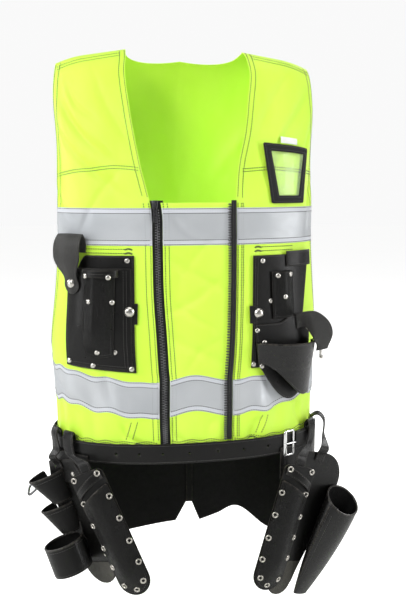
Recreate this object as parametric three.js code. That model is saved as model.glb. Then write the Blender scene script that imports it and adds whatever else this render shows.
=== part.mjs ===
// A utility work vest with its tool belt, in the shape it has when it is worn closed: a high-visibility
// vest with reflective bands, two zips and a clear card pocket, leather tool pockets on its chest, and a
// leather belt that carries two groups of hip pouches and two rear panels.
// Millimetres, +Z up. The front faces -Y and the wearer's left is +X. The origin is midway between the
// inner ends of the two shoulder seams. "down" is a distance below them, "lift" one outwards from the body.

import * as THREE from "three";

// Driving dimensions

const VEST = { length: 712, halfWidth: 256, front: 136, back: 122, cloth: 1.6, seam: 0.6, square: 2.4 };
const SHOULDER = { inner: 104, slope: 0.162, roundFrom: 180, round: 0.003, fadeFrom: 48, fadeTo: 281 };
const BAND = { chestTop: 281, waistTop: 580, height: 65, thickness: 1, clearance: 0.4 };
const WAIST_SAG = { rise: 24, from: 480, full: 575, until: 650 };
const ZIP = {
  width: 18, top: 268, end: VEST.length - 8, tuck: 5, tape: 1, chain: 7, teeth: 2.4, overlap: 10, tooth: 3.2,
};
const NECK = { backAngle: 25, backDrop: 28, frontDrop: ZIP.top + 4 };
const SLIDER = { width: 11, length: 15, pullWidth: 6, pullLength: 38, thickness: 3.4 };
const LEATHER = 2.4;
const SEAT = 0.4;
const OVER_CLOTH = 1.4;
const CURVE_STEPS = 5;

const BELT = { top: VEST.length - 14, height: 37, thickness: 3, clearance: 6, columns: 60 };
const BUCKLE = { angle: 42, width: 24, height: 50, bar: 4.5, thickness: 3.6, prong: 4 };
const KEEPER = { width: 9, thickness: 2, after: 6.5 };
const SNAP = { radius: 9, height: 5, shoulder: 0.7, sides: 10 };

// Horizontal sections of the vest. down is a share of its length, half of its half width, front and
// back of its two depths. armhole, right and left are the edges of the front panels, in degrees
// from the middle.
const SECTIONS = [
  { down: 0.0, half: 0.955, front: 0.0, back: 0.0, armhole: 66, right: 25, left: 25 },
  { down: 0.007, half: 0.955, front: 0.147, back: 0.18, armhole: 67, right: 25.2, left: 25.2 },
  { down: 0.028, half: 0.957, front: 0.309, back: 0.393, armhole: 68.5, right: 25.5, left: 25.5 },
  { down: 0.067, half: 0.959, front: 0.456, back: 0.59, armhole: 70, right: 26.1, left: 25.7 },
  { down: 0.133, half: 0.957, front: 0.618, back: 0.795, armhole: 71, right: 25.3, left: 23.8 },
  { down: 0.211, half: 0.95, front: 0.735, back: 0.926, armhole: 71, right: 23.8, left: 22 },
  { down: 0.298, half: 0.945, front: 0.81, back: 0.984, armhole: 71, right: 21.3, left: 18.9 },
  { down: 0.395, half: 0.944, front: 0.86, back: 1.0, armhole: 71, right: 17.7, left: 17.9 },
  { down: 0.486, half: 0.944, front: 0.875, back: 0.992, armhole: 72, right: 17.3, left: 17.9 },
  { down: 0.604, half: 0.962, front: 0.89, back: 0.967, armhole: 75, right: 16.8, left: 17.5 },
  { down: 0.716, half: 0.985, front: 0.9, back: 0.934, armhole: 81, right: 15.4, left: 16.7 },
  { down: 0.791, half: 0.98, front: 0.91, back: 0.918, armhole: 90, right: 14.8, left: 16 },
  { down: 0.815, half: 0.975, front: 0.915, back: 0.918, armhole: 90, right: 14.6, left: 15.7 },
  { down: 0.906, half: 0.963, front: 0.956, back: 0.918, armhole: 90, right: 15, left: 15.6 },
  { down: 1.0, half: 0.96, front: 1.0, back: 0.926, armhole: 90, right: 14.8, left: 15.5 },
];

// Rows of the cloth between the bands, as shares of the length.
const CLOTH_ROWS = [
  0, 0.007, 0.028, 0.067, 0.133, 0.211, 0.298, 0.382, 0.545, 0.604, 0.66, 0.716, 0.755, 0.785, 0.795, 0.955, 1,
];

// Soft folds. angle and width in degrees, from and to as shares of the length, rise in millimetres.
const FOLDS = [
  { face: "front", angle: -33, width: 3.5, from: 0.84, to: 0.985, rise: 6 },
  { face: "front", angle: -44, width: 5, from: 0.78, to: 0.985, rise: -5 },
  { face: "front", angle: -58, width: 6, from: 0.74, to: 0.985, rise: 5 },
  { face: "front", angle: -8, width: 5, from: 0.42, to: 0.8, rise: -4 },
  { face: "front", angle: 5, width: 5, from: 0.5, to: 0.92, rise: 5 },
  { face: "front", angle: 27, width: 4, from: 0.84, to: 0.985, rise: 5 },
  { face: "front", angle: 40, width: 5, from: 0.8, to: 0.985, rise: -5 },
  { face: "front", angle: 64, width: 6, from: 0.78, to: 0.985, rise: 4 },
  { face: "back", angle: 0, width: 9, from: 0.25, to: 0.8, rise: -6 },
  { face: "back", angle: 34, width: 7, from: 0.55, to: 0.985, rise: 6 },
  { face: "back", angle: -36, width: 7, from: 0.6, to: 0.985, rise: 6 },
];

// Finishes: colour, roughness, metalness.
const FINISHES = {
  cloth: [0xc8ff1a, 0.6, 0],
  reflective: [0xc4c8cc, 0.45, 0.1],
  leather: [0x15130f, 0.5, 0],
  film: [0xd6e6a0, 0.15, 0],
  label: [0xf2f2f0, 0.7, 0],
  black: [0x0c0c0c, 0.5, 0],
  nickel: [0xc9c6bf, 0.25, 1],
};

const work = new THREE.Group();

function finish(name) {
  const [color, roughness, metalness] = FINISHES[name];
  return new THREE.MeshStandardMaterial({ color, roughness, metalness, side: THREE.FrontSide });
}

function add(name, geometry, finishName, group = work) {
  geometry.computeVertexNormals();
  const mesh = new THREE.Mesh(geometry, finish(finishName));
  mesh.name = name;
  group.add(mesh);
  return mesh;
}

// Number helpers

const mix = THREE.MathUtils.lerp;
const ease = (from, to, value) => THREE.MathUtils.smoothstep(value, from, to);
const shares = (count) => Array.from({ length: count + 1 }, (_, i) => i / count);
const arch = (u) => Math.sin(Math.PI * u);

// The value of a table's column at a fractional row, on a smooth curve through the rows.
function column(table, name, level) {
  const last = table.length - 1;
  const row = Math.min(Math.max(Math.floor(level), 0), last - 1);
  const value = (index) => table[Math.min(Math.max(index, 0), last)][name];
  const t = level - row;
  const rise = (value(row + 1) - value(row - 1)) / 2;
  const nextRise = (value(row + 2) - value(row)) / 2;
  const start = (2 * t ** 3 - 3 * t ** 2 + 1) * value(row) + (t ** 3 - 2 * t ** 2 + t) * rise;
  return start + (3 * t ** 2 - 2 * t ** 3) * value(row + 1) + (t ** 3 - t ** 2) * nextRise;
}

// The fractional row of SECTIONS at a distance down.
function levelAt(down) {
  let low = 0;
  let high = SECTIONS.length - 1;
  for (let step = 0; step < 40; step += 1) {
    const middle = (low + high) / 2;
    if (column(SECTIONS, "down", middle) * VEST.length < down) low = middle;
    else high = middle;
  }
  return (low + high) / 2;
}

const section = (name, down) => column(SECTIONS, name, levelAt(down));
const armhole = (down) => Math.min(section("armhole", down), 90);

// The body surface

// A superellipse's radius at an angle, for half axes of 1.
function squareRadius(angle) {
  const x = Math.abs(Math.sin(angle)) ** VEST.square;
  const y = Math.abs(Math.cos(angle)) ** VEST.square;
  return (x + y) ** (-1 / VEST.square);
}

// A point of the unlifted surface. The angle is measured from the middle of the front or of the back.
function bare(face, degrees, down) {
  const angle = THREE.MathUtils.degToRad(degrees);
  const level = levelAt(down);
  const radius = squareRadius(angle);
  const depth = VEST[face] * column(SECTIONS, face, level) * radius * Math.cos(angle);
  const x = VEST.halfWidth * column(SECTIONS, "half", level) * radius * Math.sin(angle);
  const y = VEST.seam / 2 + depth;
  const cap = SHOULDER.round * Math.max(0, Math.abs(x) - SHOULDER.roundFrom) ** 2;
  const drop = SHOULDER.slope * (Math.abs(x) - SHOULDER.inner) + cap;
  const z = -down - drop * (1 - ease(SHOULDER.fadeFrom, SHOULDER.fadeTo, down));
  return new THREE.Vector3(x, face === "front" ? -y : y, z);
}

// A point of the body surface, lifted outwards.
function body(face, degrees, down, lift) {
  const step = 0.02;
  const point = bare(face, degrees, down);
  const across = bare(face, degrees + step, down).sub(bare(face, degrees - step, down));
  const along = bare(face, degrees, down + step).sub(bare(face, degrees, Math.max(down - step, 0)));
  const normal = along.cross(across).normalize();
  return point.addScaledVector(normal, face === "front" ? lift : -lift);
}

// How far the waist of the cloth sags near the zips and rides up at the sides.
function sag(face, degrees, down) {
  const side = Math.abs(degrees);
  const front = 0.5 * ease(0, 15, side) - ease(15, 70, side) - 0.1;
  const share = face === "front" ? front : -0.6;
  const reach = ease(WAIST_SAG.from, WAIST_SAG.full, down) * (1 - ease(WAIST_SAG.until, VEST.length, down));
  return WAIST_SAG.rise * share * reach;
}

function foldLift(face, degrees, down) {
  let total = 0;
  for (const fold of FOLDS) {
    if (fold.face !== face) continue;
    const place = THREE.MathUtils.clamp((down / VEST.length - fold.from) / (fold.to - fold.from), 0, 1);
    total += fold.rise * arch(place) ** 2 * Math.exp(-(((degrees - fold.angle) / fold.width) ** 2));
  }
  return total;
}

// A point of the cloth, with its sag and folds.
function cloth(face, degrees, down, lift) {
  return body(face, degrees, down + sag(face, degrees, down), lift + foldLift(face, degrees, down));
}

// Degrees for a millimetre across, near a place on the body.
function degreesPerMm(face, degrees, down) {
  const step = 0.5;
  return (2 * step) / bare(face, degrees + step, down).distanceTo(bare(face, degrees - step, down));
}

// A point beside and below a place on the body, in millimetres, without the cloth's folds.
function beside(place, x, y, lift) {
  return body("front", place.angle + x * degreesPerMm("front", place.angle, place.down), place.down + y, lift);
}

// The belt line: a point round the hem at an angle, lifted outwards, at a distance down.
function hoop(degrees, down, lift) {
  const angle = THREE.MathUtils.degToRad(degrees);
  const front = Math.cos(angle) > 0;
  const half = VEST.halfWidth * section("half", VEST.length);
  const depth = front ? VEST.front * section("front", VEST.length) : VEST.back * section("back", VEST.length);
  const radius = squareRadius(angle);
  const x = half * radius * Math.sin(angle);
  const y = -depth * radius * Math.cos(angle);
  const nx = Math.sign(x) * (Math.abs(x) / half) ** (VEST.square - 1) / half;
  const ny = Math.sign(y) * (Math.abs(y) / depth) ** (VEST.square - 1) / depth;
  const size = Math.hypot(nx, ny);
  return new THREE.Vector3(x + (lift * nx) / size, y + (lift * ny) / size, -down);
}

// Solids

// A closed wall over a grid of u and v, between its inner side (w = 0) and its outer side (w = 1).
// In a ring, the last column is the first one again.
function wall(us, vs, at, ring = false) {
  const columns = ring ? us.length - 1 : us.length;
  const points = [];
  for (const w of [0, 1]) {
    for (const v of vs) {
      for (let i = 0; i < columns; i += 1) points.push(at(us[i], v, w));
    }
  }
  const id = (w, i, j) => (w * vs.length + j) * columns + (i % columns);
  const quads = [];
  const lastRow = vs.length - 1;
  const lastColumn = us.length - 1;
  for (let i = 0; i < lastColumn; i += 1) {
    for (let j = 0; j < lastRow; j += 1) {
      quads.push([id(1, i, j), id(1, i + 1, j), id(1, i + 1, j + 1), id(1, i, j + 1)]);
      quads.push([id(0, i, j), id(0, i, j + 1), id(0, i + 1, j + 1), id(0, i + 1, j)]);
    }
    quads.push([id(0, i, 0), id(0, i + 1, 0), id(1, i + 1, 0), id(1, i, 0)]);
    quads.push([id(1, i, lastRow), id(1, i + 1, lastRow), id(0, i + 1, lastRow), id(0, i, lastRow)]);
  }
  for (let j = 0; j < lastRow && !ring; j += 1) {
    quads.push([id(1, 0, j), id(1, 0, j + 1), id(0, 0, j + 1), id(0, 0, j)]);
    const far = lastColumn;
    quads.push([id(1, far, j + 1), id(1, far, j), id(0, far, j), id(0, far, j + 1)]);
  }
  return closedGeometry(points, quads);
}

// A geometry from points and four-sided faces, turned so that its faces point out.
function closedGeometry(points, quads) {
  const index = quads.flatMap(([a, b, c, d]) => [a, b, c, a, c, d]);
  let volume = 0;
  for (let i = 0; i < index.length; i += 3) {
    const [a, b, c] = [points[index[i]], points[index[i + 1]], points[index[i + 2]]];
    volume += a.dot(new THREE.Vector3().crossVectors(b, c));
  }
  if (volume < 0) index.reverse();
  const geometry = new THREE.BufferGeometry().setFromPoints(points);
  geometry.setIndex(index);
  return geometry;
}

// A flat strap through stops. Each stop gives a point for a distance to the side of the strap's middle.
function strap(stops, width, thickness, steps, narrowing = () => 1) {
  const curves = [-width / 2, 0, width / 2].map((aside) => {
    return new THREE.CatmullRomCurve3(stops.map((stop) => stop(aside)), false, "centripetal");
  });
  return wall([-1, 0, 1], shares(steps), (u, v, w) => {
    const side = curves[2].getPoint(v).sub(curves[0].getPoint(v));
    const normal = curves[1].getTangent(v).cross(side).normalize();
    const point = curves[1].getPoint(v).lerp(curves[u + 1].getPoint(v), narrowing(v));
    return point.addScaledVector(normal, (w - 0.5) * thickness);
  });
}

// A flat leather plate of an outline in X and Z, its back in the group's plane.
function flatPlate(outline) {
  const options = { depth: LEATHER, bevelEnabled: false, curveSegments: CURVE_STEPS };
  return new THREE.ExtrudeGeometry(outline, options).rotateX(Math.PI / 2);
}

// A group that hangs at a point, turned about Z, then tilted and leaned in its own plane.
function hang(point, turn) {
  const group = new THREE.Group();
  group.position.copy(point);
  group.rotation.set(...[turn.lean, turn.tilt, turn.yaw].map(THREE.MathUtils.degToRad), "ZYX");
  group.updateMatrix();
  work.add(group);
  return group;
}

const within = (group, x, out, z) => new THREE.Vector3(x, -out, z).applyMatrix4(group.matrix);

// A small rigid piece on the body: its geometry has +Z outwards and +Y up.
function pinned(name, geometry, finishName, spot) {
  const out = spot(1).sub(spot(0)).normalize();
  const up = new THREE.Vector3(0, 0, 1).addScaledVector(out, -out.z).normalize();
  const matrix = new THREE.Matrix4().makeBasis(new THREE.Vector3().crossVectors(up, out), up, out);
  const mesh = add(name, geometry, finishName);
  mesh.quaternion.setFromRotationMatrix(matrix);
  mesh.position.copy(spot(0));
}

// A domed snap cap, +Z outwards.
function dome(radius, height) {
  const profile = [
    new THREE.Vector2(0, 0),
    new THREE.Vector2(radius, 0),
    new THREE.Vector2(radius, height * (1 - SNAP.shoulder)),
    new THREE.Vector2(radius * SNAP.shoulder, height * 0.85),
    new THREE.Vector2(0, height),
  ];
  return new THREE.LatheGeometry(profile, SNAP.sides).rotateX(Math.PI / 2);
}

// The vest

const clothRows = [...new Set([
  ...CLOTH_ROWS.map((share) => share * VEST.length),
  ...[0, 0.5, 1].map((share) => BAND.chestTop + share * BAND.height),
  ...[0, 0.5, 1].map((share) => BAND.waistTop + share * BAND.height),
])].sort((a, b) => a - b);

const rowsFrom = (top, bottom) => {
  const between = clothRows.filter((row) => row > top + 1 && row < bottom - 1);
  return [top, ...between, bottom];
};
const degreesFor = (mm) => mm * degreesPerMm("front", 0, BAND.chestTop);

// The two edges of each piece of cloth at a distance down, in degrees, and its columns.
const CLOTH = {
  right: { face: "front", edges: (d) => [-armhole(d), -section("right", d)], columns: shares(8) },
  left: { face: "front", edges: (d) => [section("left", d), armhole(d)], columns: shares(8) },
  centre: {
    face: "front",
    edges: (d) => [degreesFor(ZIP.width) - section("right", d), section("left", d) - degreesFor(VEST.seam)],
    columns: shares(5),
  },
  back: {
    face: "back",
    edges: (d) => [-armhole(d), armhole(d)],
    columns: [0, 0.065, 0.13, 0.19, 0.25, 0.311, 0.4, 0.5, 0.6, 0.689, 0.75, 0.81, 0.87, 0.935, 1],
  },
};

// A sheet of cloth over some rows, between two lifts.
function clothSheet(piece, rows, inner, outer, settle = (degrees, down) => down) {
  return wall(piece.columns, rows, (u, down, w) => {
    const [start, end] = piece.edges(down);
    const degrees = mix(start, end, u);
    return cloth(piece.face, degrees, settle(degrees, down), mix(inner, outer, w));
  });
}

// The back's neckline dips between the shoulders.
function backNeck(degrees, down) {
  const reach = armhole(down) / SECTIONS[0].armhole;
  const share = Math.min(Math.abs(degrees) / (NECK.backAngle * reach), 1);
  const dip = NECK.backDrop * Math.sqrt(1 - share ** 2);
  const level = SHOULDER.fadeFrom;
  return down < level ? mix(dip, level, down / level) : down;
}

function makeVest() {
  const whole = rowsFrom(0, VEST.length);
  add("right_front_panel", clothSheet(CLOTH.right, whole, 0, VEST.cloth), "cloth");
  add("left_front_panel", clothSheet(CLOTH.left, whole, 0, VEST.cloth), "cloth");
  add("centre_panel", clothSheet(CLOTH.centre, rowsFrom(NECK.frontDrop, VEST.length), 0, VEST.cloth), "cloth");
  add("back_panel", clothSheet(CLOTH.back, whole, 0, VEST.cloth, backNeck), "cloth");
  const inner = VEST.cloth + BAND.clearance;
  for (const [side, piece] of Object.entries(CLOTH)) {
    for (const [band, top] of [["chest_band", BAND.chestTop], ["waist_band", BAND.waistTop]]) {
      const sheet = clothSheet(piece, rowsFrom(top, top + BAND.height), inner, inner + BAND.thickness);
      add(`${band}_${side}`, sheet, "reflective");
    }
  }
}

// A strip down the front between two sides, each a function of the distance down, in degrees.
function strip(sides, top, bottom, inner, outer) {
  return wall([0, 1], rowsFrom(top, bottom), (u, down, w) => {
    return cloth("front", mix(sides(down)[0], sides(down)[1], u), down, mix(inner, outer, w));
  });
}

function makeZips() {
  const below = -SEAT - ZIP.tape;
  const rightEdges = (d) => [
    -section("right", d) - degreesFor(ZIP.tuck),
    degreesFor(ZIP.width + ZIP.tuck) - section("right", d),
  ];
  add("right_zip_tape", strip(rightEdges, ZIP.top, ZIP.end, below, -SEAT), "black");
  const middle = (d) => degreesFor(ZIP.width / 2) - section("right", d);
  const chain = (d) => [middle(d) - degreesFor(ZIP.chain / 2), middle(d) + degreesFor(ZIP.chain / 2)];
  const chainTop = ZIP.top + SLIDER.length;
  add("right_zip_chain", strip(chain, chainTop, ZIP.end - 2, 0, ZIP.teeth), "black");
  const sliderShape = new THREE.Shape();
  const [half, pull] = [SLIDER.width / 2, SLIDER.pullWidth / 2];
  sliderShape.moveTo(-half, 0).lineTo(-half, -SLIDER.length).lineTo(-pull, -SLIDER.length);
  sliderShape.lineTo(-pull, -SLIDER.pullLength).lineTo(pull, -SLIDER.pullLength).lineTo(pull, -SLIDER.length);
  sliderShape.lineTo(half, -SLIDER.length).lineTo(half, 0).lineTo(-half, 0);
  const slider = new THREE.ExtrudeGeometry(sliderShape, { depth: SLIDER.thickness, bevelEnabled: false });
  const over = ZIP.teeth + 2 * SEAT;
  pinned("right_zip_slider", slider, "black", (t) => cloth("front", middle(ZIP.top), ZIP.top, over + t));

  const lift = VEST.cloth + BAND.clearance + BAND.thickness + SEAT;
  const leftTape = (d) => [section("left", d) - degreesFor(ZIP.overlap), section("left", d) - degreesFor(1)];
  const leftEnd = BELT.top - 2;
  add("left_zip_tape", strip(leftTape, ZIP.top, leftEnd, lift, lift + ZIP.tape), "black");
  const teeth = (d) => [SEAT + ZIP.tooth, SEAT].map((beyond) => leftTape(d)[0] - degreesFor(beyond));
  add("left_zip_teeth", strip(teeth, ZIP.top + 6, leftEnd, lift, lift + ZIP.teeth), "black");
}

// The card pocket on the left chest

const CARD = { angle: 44, down: 166, width: 100, narrow: 72, height: 108, border: 14, lift: 1.5, film: 1 };
const LABEL = { width: 36, height: 12, above: 3, lift: 0.9, thickness: 1 };

function makeCardPocket() {
  // A point by its share across and down, in from the outer edge by a border.
  const at = (across, drop, border, lift) => {
    const half = mix(CARD.width, CARD.narrow, drop) / 2 - border;
    const y = mix(border, CARD.height - border, drop);
    return beside(CARD, (2 * across - 1) * half, y, lift);
  };
  const corners = [[0, 0], [0.5, 0], [1, 0], [1, 0.5], [1, 1], [0.5, 1], [0, 1], [0, 0.5], [0, 0]];
  const inner = VEST.cloth + CARD.lift;
  const binding = wall(shares(corners.length - 1), [0, 1], (u, v, w) => {
    const [across, drop] = corners[Math.round(u * (corners.length - 1))];
    return at(across, drop, v * CARD.border, mix(inner, inner + LEATHER, w));
  }, true);
  add("id_pocket_binding", binding, "black");
  const film = wall(shares(4), shares(3), (u, v, w) => {
    return at(u, v, CARD.border + SEAT, inner + w * CARD.film);
  });
  add("id_pocket_window", film, "film");
  const label = wall(shares(2), [0, 1], (u, v, w) => {
    const y = -LABEL.above - (1 - v) * LABEL.height;
    return beside(CARD, (u - 0.5) * LABEL.width, y, VEST.cloth + LABEL.lift + w * LABEL.thickness);
  });
  add("label_tab", label, "label");
}

// Pieces stacked on a chest plate, from the cloth outwards
const PLATE_LIFT = VEST.cloth + OVER_CLOTH;

// A leather sheet beside a place: left, right, top and bottom are millimetres, or functions of a share.
function leatherSheet(place, edges, lift, columns = 4, rows = 4) {
  const value = (edge, share) => (typeof edge === "function" ? edge(share) : edge);
  const liftAt = typeof lift === "function" ? lift : () => lift;
  return wall(shares(columns), shares(rows), (u, v, w) => {
    const y = mix(value(edges.top, u), value(edges.bottom, u), v);
    const x = mix(value(edges.left, v), value(edges.right, v), u);
    return beside(place, x, y, liftAt(u, v, x, y) + w * LEATHER);
  });
}

// Right chest: a plate, a wide pocket, a narrow rule pocket with a band, and a flap with a snap

const RIGHT_CHEST = { angle: -40, down: 363, left: -66, right: 68, height: 206, shoulder: 46 };
const RIGHT_POCKET = { top: 22, inset: 5, bulge: 9 };
const RULE_STRIP = { left: -18, right: 30, top: 26, bottom: 180, bulge: 9, clearance: 1.2 };
const STRIP_BAND = { beyond: 4, above: 2, height: 13, bulge: 14.2, clearance: 0.8 };
const FLAP = { x: -58, shift: 9, width: 48, neck: 22, reach: 108, height: 28, stand: 27, root: 4, steps: 14 };
const FLAP_SNAP = { down: 60, sink: 4 };
const CHEST_SNAP = { inset: 16, down: 98, clearance: 1.6 };

function makeRightChest() {
  const edges = {
    left: RIGHT_CHEST.left,
    right: RIGHT_CHEST.right,
    top: (u) => RIGHT_CHEST.shoulder * (1 - ease(0.05, 0.35, u)),
    bottom: (u) => RIGHT_CHEST.height + 8 * (u - 1),
  };
  add("right_chest_plate", leatherSheet(RIGHT_CHEST, edges, PLATE_LIFT, 6, 4), "leather");

  const pocketBase = PLATE_LIFT + LEATHER + 2 * SEAT;
  const bulgeAt = (u, v) => RIGHT_POCKET.bulge * arch(u) ** 0.8 * (1 - ease(0.55, 1, v));
  const pocketEdges = {
    left: edges.left + RIGHT_POCKET.inset,
    right: edges.right - RIGHT_POCKET.inset,
    top: (u) => Math.max(edges.top(u) + RIGHT_POCKET.inset, RIGHT_POCKET.top),
    bottom: (u) => edges.bottom(u) - RIGHT_POCKET.inset,
  };
  const pocketLift = (u, v) => pocketBase + bulgeAt(u, v);
  add("right_chest_pocket", leatherSheet(RIGHT_CHEST, pocketEdges, pocketLift, 8, 6), "leather");

  // The rule strip follows the pocket under it.
  const span = pocketEdges.right - pocketEdges.left;
  const drop = pocketEdges.bottom(1) - RIGHT_POCKET.top;
  const under = (x, y) => {
    const share = (y - RIGHT_POCKET.top) / drop;
    return pocketBase + bulgeAt((x - pocketEdges.left) / span, THREE.MathUtils.clamp(share, 0, 1)) + LEATHER;
  };
  const stripLift = (u, v, x, y) => {
    return under(x, y) + RULE_STRIP.clearance + RULE_STRIP.bulge * arch(u) * (1 - ease(0.7, 1, v));
  };
  add("right_rule_strip", leatherSheet(RIGHT_CHEST, RULE_STRIP, stripLift, 6, 6), "leather");
  const band = {
    left: RULE_STRIP.left - STRIP_BAND.beyond,
    right: RULE_STRIP.right + STRIP_BAND.beyond,
    top: RULE_STRIP.top - STRIP_BAND.above,
    bottom: RULE_STRIP.top - STRIP_BAND.above + STRIP_BAND.height,
  };
  const bandLift = (u, v, x, y) => under(x, y) + STRIP_BAND.clearance + STRIP_BAND.bulge * arch(u) ** 0.5;
  add("right_strip_band", leatherSheet(RIGHT_CHEST, band, bandLift, 6, 1), "leather");

  // The flap comes out above the plate, folds over and hangs in front of it, narrowing to a round tip.
  const seat = VEST.cloth + 2 * SEAT + LEATHER / 2;
  const stops = [
    [FLAP.root, seat],
    [-FLAP.height / 2, seat + 1],
    [-FLAP.height, FLAP.stand * 0.6],
    [-FLAP.height + 14, FLAP.stand],
    [20, FLAP.stand],
    [54, FLAP.stand - 6],
    [FLAP.reach - FLAP.height, FLAP.stand - 9],
  ];
  const flapX = (y) => FLAP.x + FLAP.shift * ease(10, 60, y);
  const flapStops = stops.map(([y, lift]) => (aside) => beside(RIGHT_CHEST, flapX(y) + aside, y, lift));
  const narrowing = (v) => {
    const share = mix(1, FLAP.neck / FLAP.width, ease(0.6, 0.84, v));
    return share * mix(1, 0.45, ease(0.94, 1, v));
  };
  add("right_chest_flap", strap(flapStops, FLAP.width, LEATHER, FLAP.steps, narrowing), "leather");
  const snapLift = FLAP.stand - FLAP_SNAP.sink;
  const flapSnap = (t) => beside(RIGHT_CHEST, flapX(FLAP_SNAP.down), FLAP_SNAP.down, snapLift + t);
  pinned("right_flap_snap", dome(SNAP.radius, SNAP.height), "nickel", flapSnap);
  const snapX = RIGHT_CHEST.right - CHEST_SNAP.inset;
  const snapSeat = under(snapX, CHEST_SNAP.down) + CHEST_SNAP.clearance;
  const chestSnap = (t) => beside(RIGHT_CHEST, snapX, CHEST_SNAP.down, snapSeat + t);
  pinned("right_chest_snap", dome(SNAP.radius, SNAP.height), "nickel", chestSnap);
}

// Left chest: a plate, a narrow pen pocket, a raised tab, and a scoop with its own plate and strap

const LEFT_CHEST = { angle: 40, down: 366, left: -62, top: 72, foot: 20, height: 204 };
const PEN_STRIP = { left: -26, right: 16, top: 30, bottom: 116, bulge: 8, clearance: 1 };
const PEN_TAB = { left: 4, right: 74, top: -6, bottom: 22 };
const SCOOP_PLATE = { left: -68, right: 58, top: 124, height: 144, clearance: 1.1 };
const SCOOP_STRAP = { width: 26, steps: 14 };
const PEN_SNAP = { inset: 12, down: 104 };
const HOOK = { x: 76, below: 66, out: 16.6, width: 9, height: 16, thickness: 4 };
const SCOOP = { left: -56, right: 62, top: 158, height: 102, bulge: 34, clearance: 1 };

function makeLeftChest() {
  const plate = {
    left: (v) => LEFT_CHEST.left - 8 * v,
    right: (v) => mix(LEFT_CHEST.top, LEFT_CHEST.foot, v),
    top: 0,
    bottom: LEFT_CHEST.height,
  };
  add("left_chest_plate", leatherSheet(LEFT_CHEST, plate, PLATE_LIFT, 5, 6), "leather");
  const first = PLATE_LIFT + LEATHER;
  const penLift = (u, v) => first + PEN_STRIP.clearance + PEN_STRIP.bulge * arch(u) * (1 - ease(0.7, 1, v));
  add("left_pen_strip", leatherSheet(LEFT_CHEST, PEN_STRIP, penLift, 6, 4), "leather");
  const tabLift = (u) => first + 2 * SEAT + 2 * arch(u);
  add("left_pen_tab", leatherSheet(LEFT_CHEST, PEN_TAB, tabLift, 4, 1), "leather");
  const snapX = LEFT_CHEST.left + PEN_SNAP.inset;
  const snapSpot = (t) => beside(LEFT_CHEST, snapX, PEN_SNAP.down, first + 2 * SEAT + t);
  pinned("left_chest_snap", dome(SNAP.radius, SNAP.height), "nickel", snapSpot);

  // The scoop's plate has a round bottom, low at its middle.
  const scoopPlate = {
    left: (v) => SCOOP_PLATE.left + 14 * v,
    right: SCOOP_PLATE.right,
    top: SCOOP_PLATE.top,
    bottom: (u) => SCOOP_PLATE.top + SCOOP_PLATE.height * mix(0.34, 1, arch(mix(0.08, 0.82, u))),
  };
  const second = first + SCOOP_PLATE.clearance;
  add("left_scoop_plate", leatherSheet(LEFT_CHEST, scoopPlate, second, 8, 4), "leather");
  const third = second + LEATHER + SCOOP.clearance;
  const scoop = {
    left: (v) => SCOOP.left + 4 * v,
    right: (v) => SCOOP.right - 12 * v,
    top: (u) => SCOOP.top + 4 * u,
    bottom: (u) => SCOOP.top + SCOOP.height * mix(0.36, 1, ease(0, 0.75, u)),
  };
  const scoopLift = (u, v) => third + SCOOP.bulge * arch(u) ** 0.7 * mix(1, 0.45, v);
  add("left_scoop", leatherSheet(LEFT_CHEST, scoop, scoopLift, 10, 5), "leather");
  makeScoopStrap(third);
}

// The scoop's strap stands out from the plate's top and comes down outside the scoop.
function makeScoopStrap(lift) {
  const { top } = SCOOP_PLATE;
  const stops = [
    [-30, top + 12, lift + LEATHER / 2, new THREE.Vector3(0, 0, 1)],
    [0, top + 2, lift + 12, new THREE.Vector3(0, -0.2, 1)],
    [30, top - 8, lift + 24, new THREE.Vector3(0.15, -0.35, 0.93)],
    [56, top - 8, lift + 32, new THREE.Vector3(0.4, -0.45, 0.8)],
    [76, top + 8, lift + 32, new THREE.Vector3(0.7, -0.6, 0.4)],
    [80, top + 34, lift + 24, new THREE.Vector3(0.8, -0.6, 0.15)],
    [74, top + 56, lift + 14, new THREE.Vector3(0.8, -0.6, 0)],
  ];
  const marks = stops.map(([x, y, out, side]) => (aside) => {
    return beside(LEFT_CHEST, x, y, out).addScaledVector(side.clone().normalize(), aside);
  });
  add("left_scoop_strap", strap(marks, SCOOP_STRAP.width, LEATHER, SCOOP_STRAP.steps), "leather");
  const hook = (t) => beside(LEFT_CHEST, HOOK.x, top + HOOK.below, lift + HOOK.out + t);
  const plate = new THREE.BoxGeometry(HOOK.width, HOOK.height, HOOK.thickness);
  pinned("left_strap_hook", plate.translate(0, 0, HOOK.thickness / 2), "nickel", hook);
}

// The belt

// A sheet round the belt between two angles and two distances down.
function beltSheet(from, to, top, bottom, lift, thickness, columns, ring = false) {
  return wall(shares(columns), [0, 1], (u, v, w) => {
    return hoop(mix(from, to, u), mix(top, bottom, v), lift + w * thickness);
  }, ring);
}

const BELT_OUT = BELT.clearance + BELT.thickness;
const hoopDegrees = (at) => 1 / hoop(at - 0.5, 0, BELT_OUT).distanceTo(hoop(at + 0.5, 0, BELT_OUT));

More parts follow.
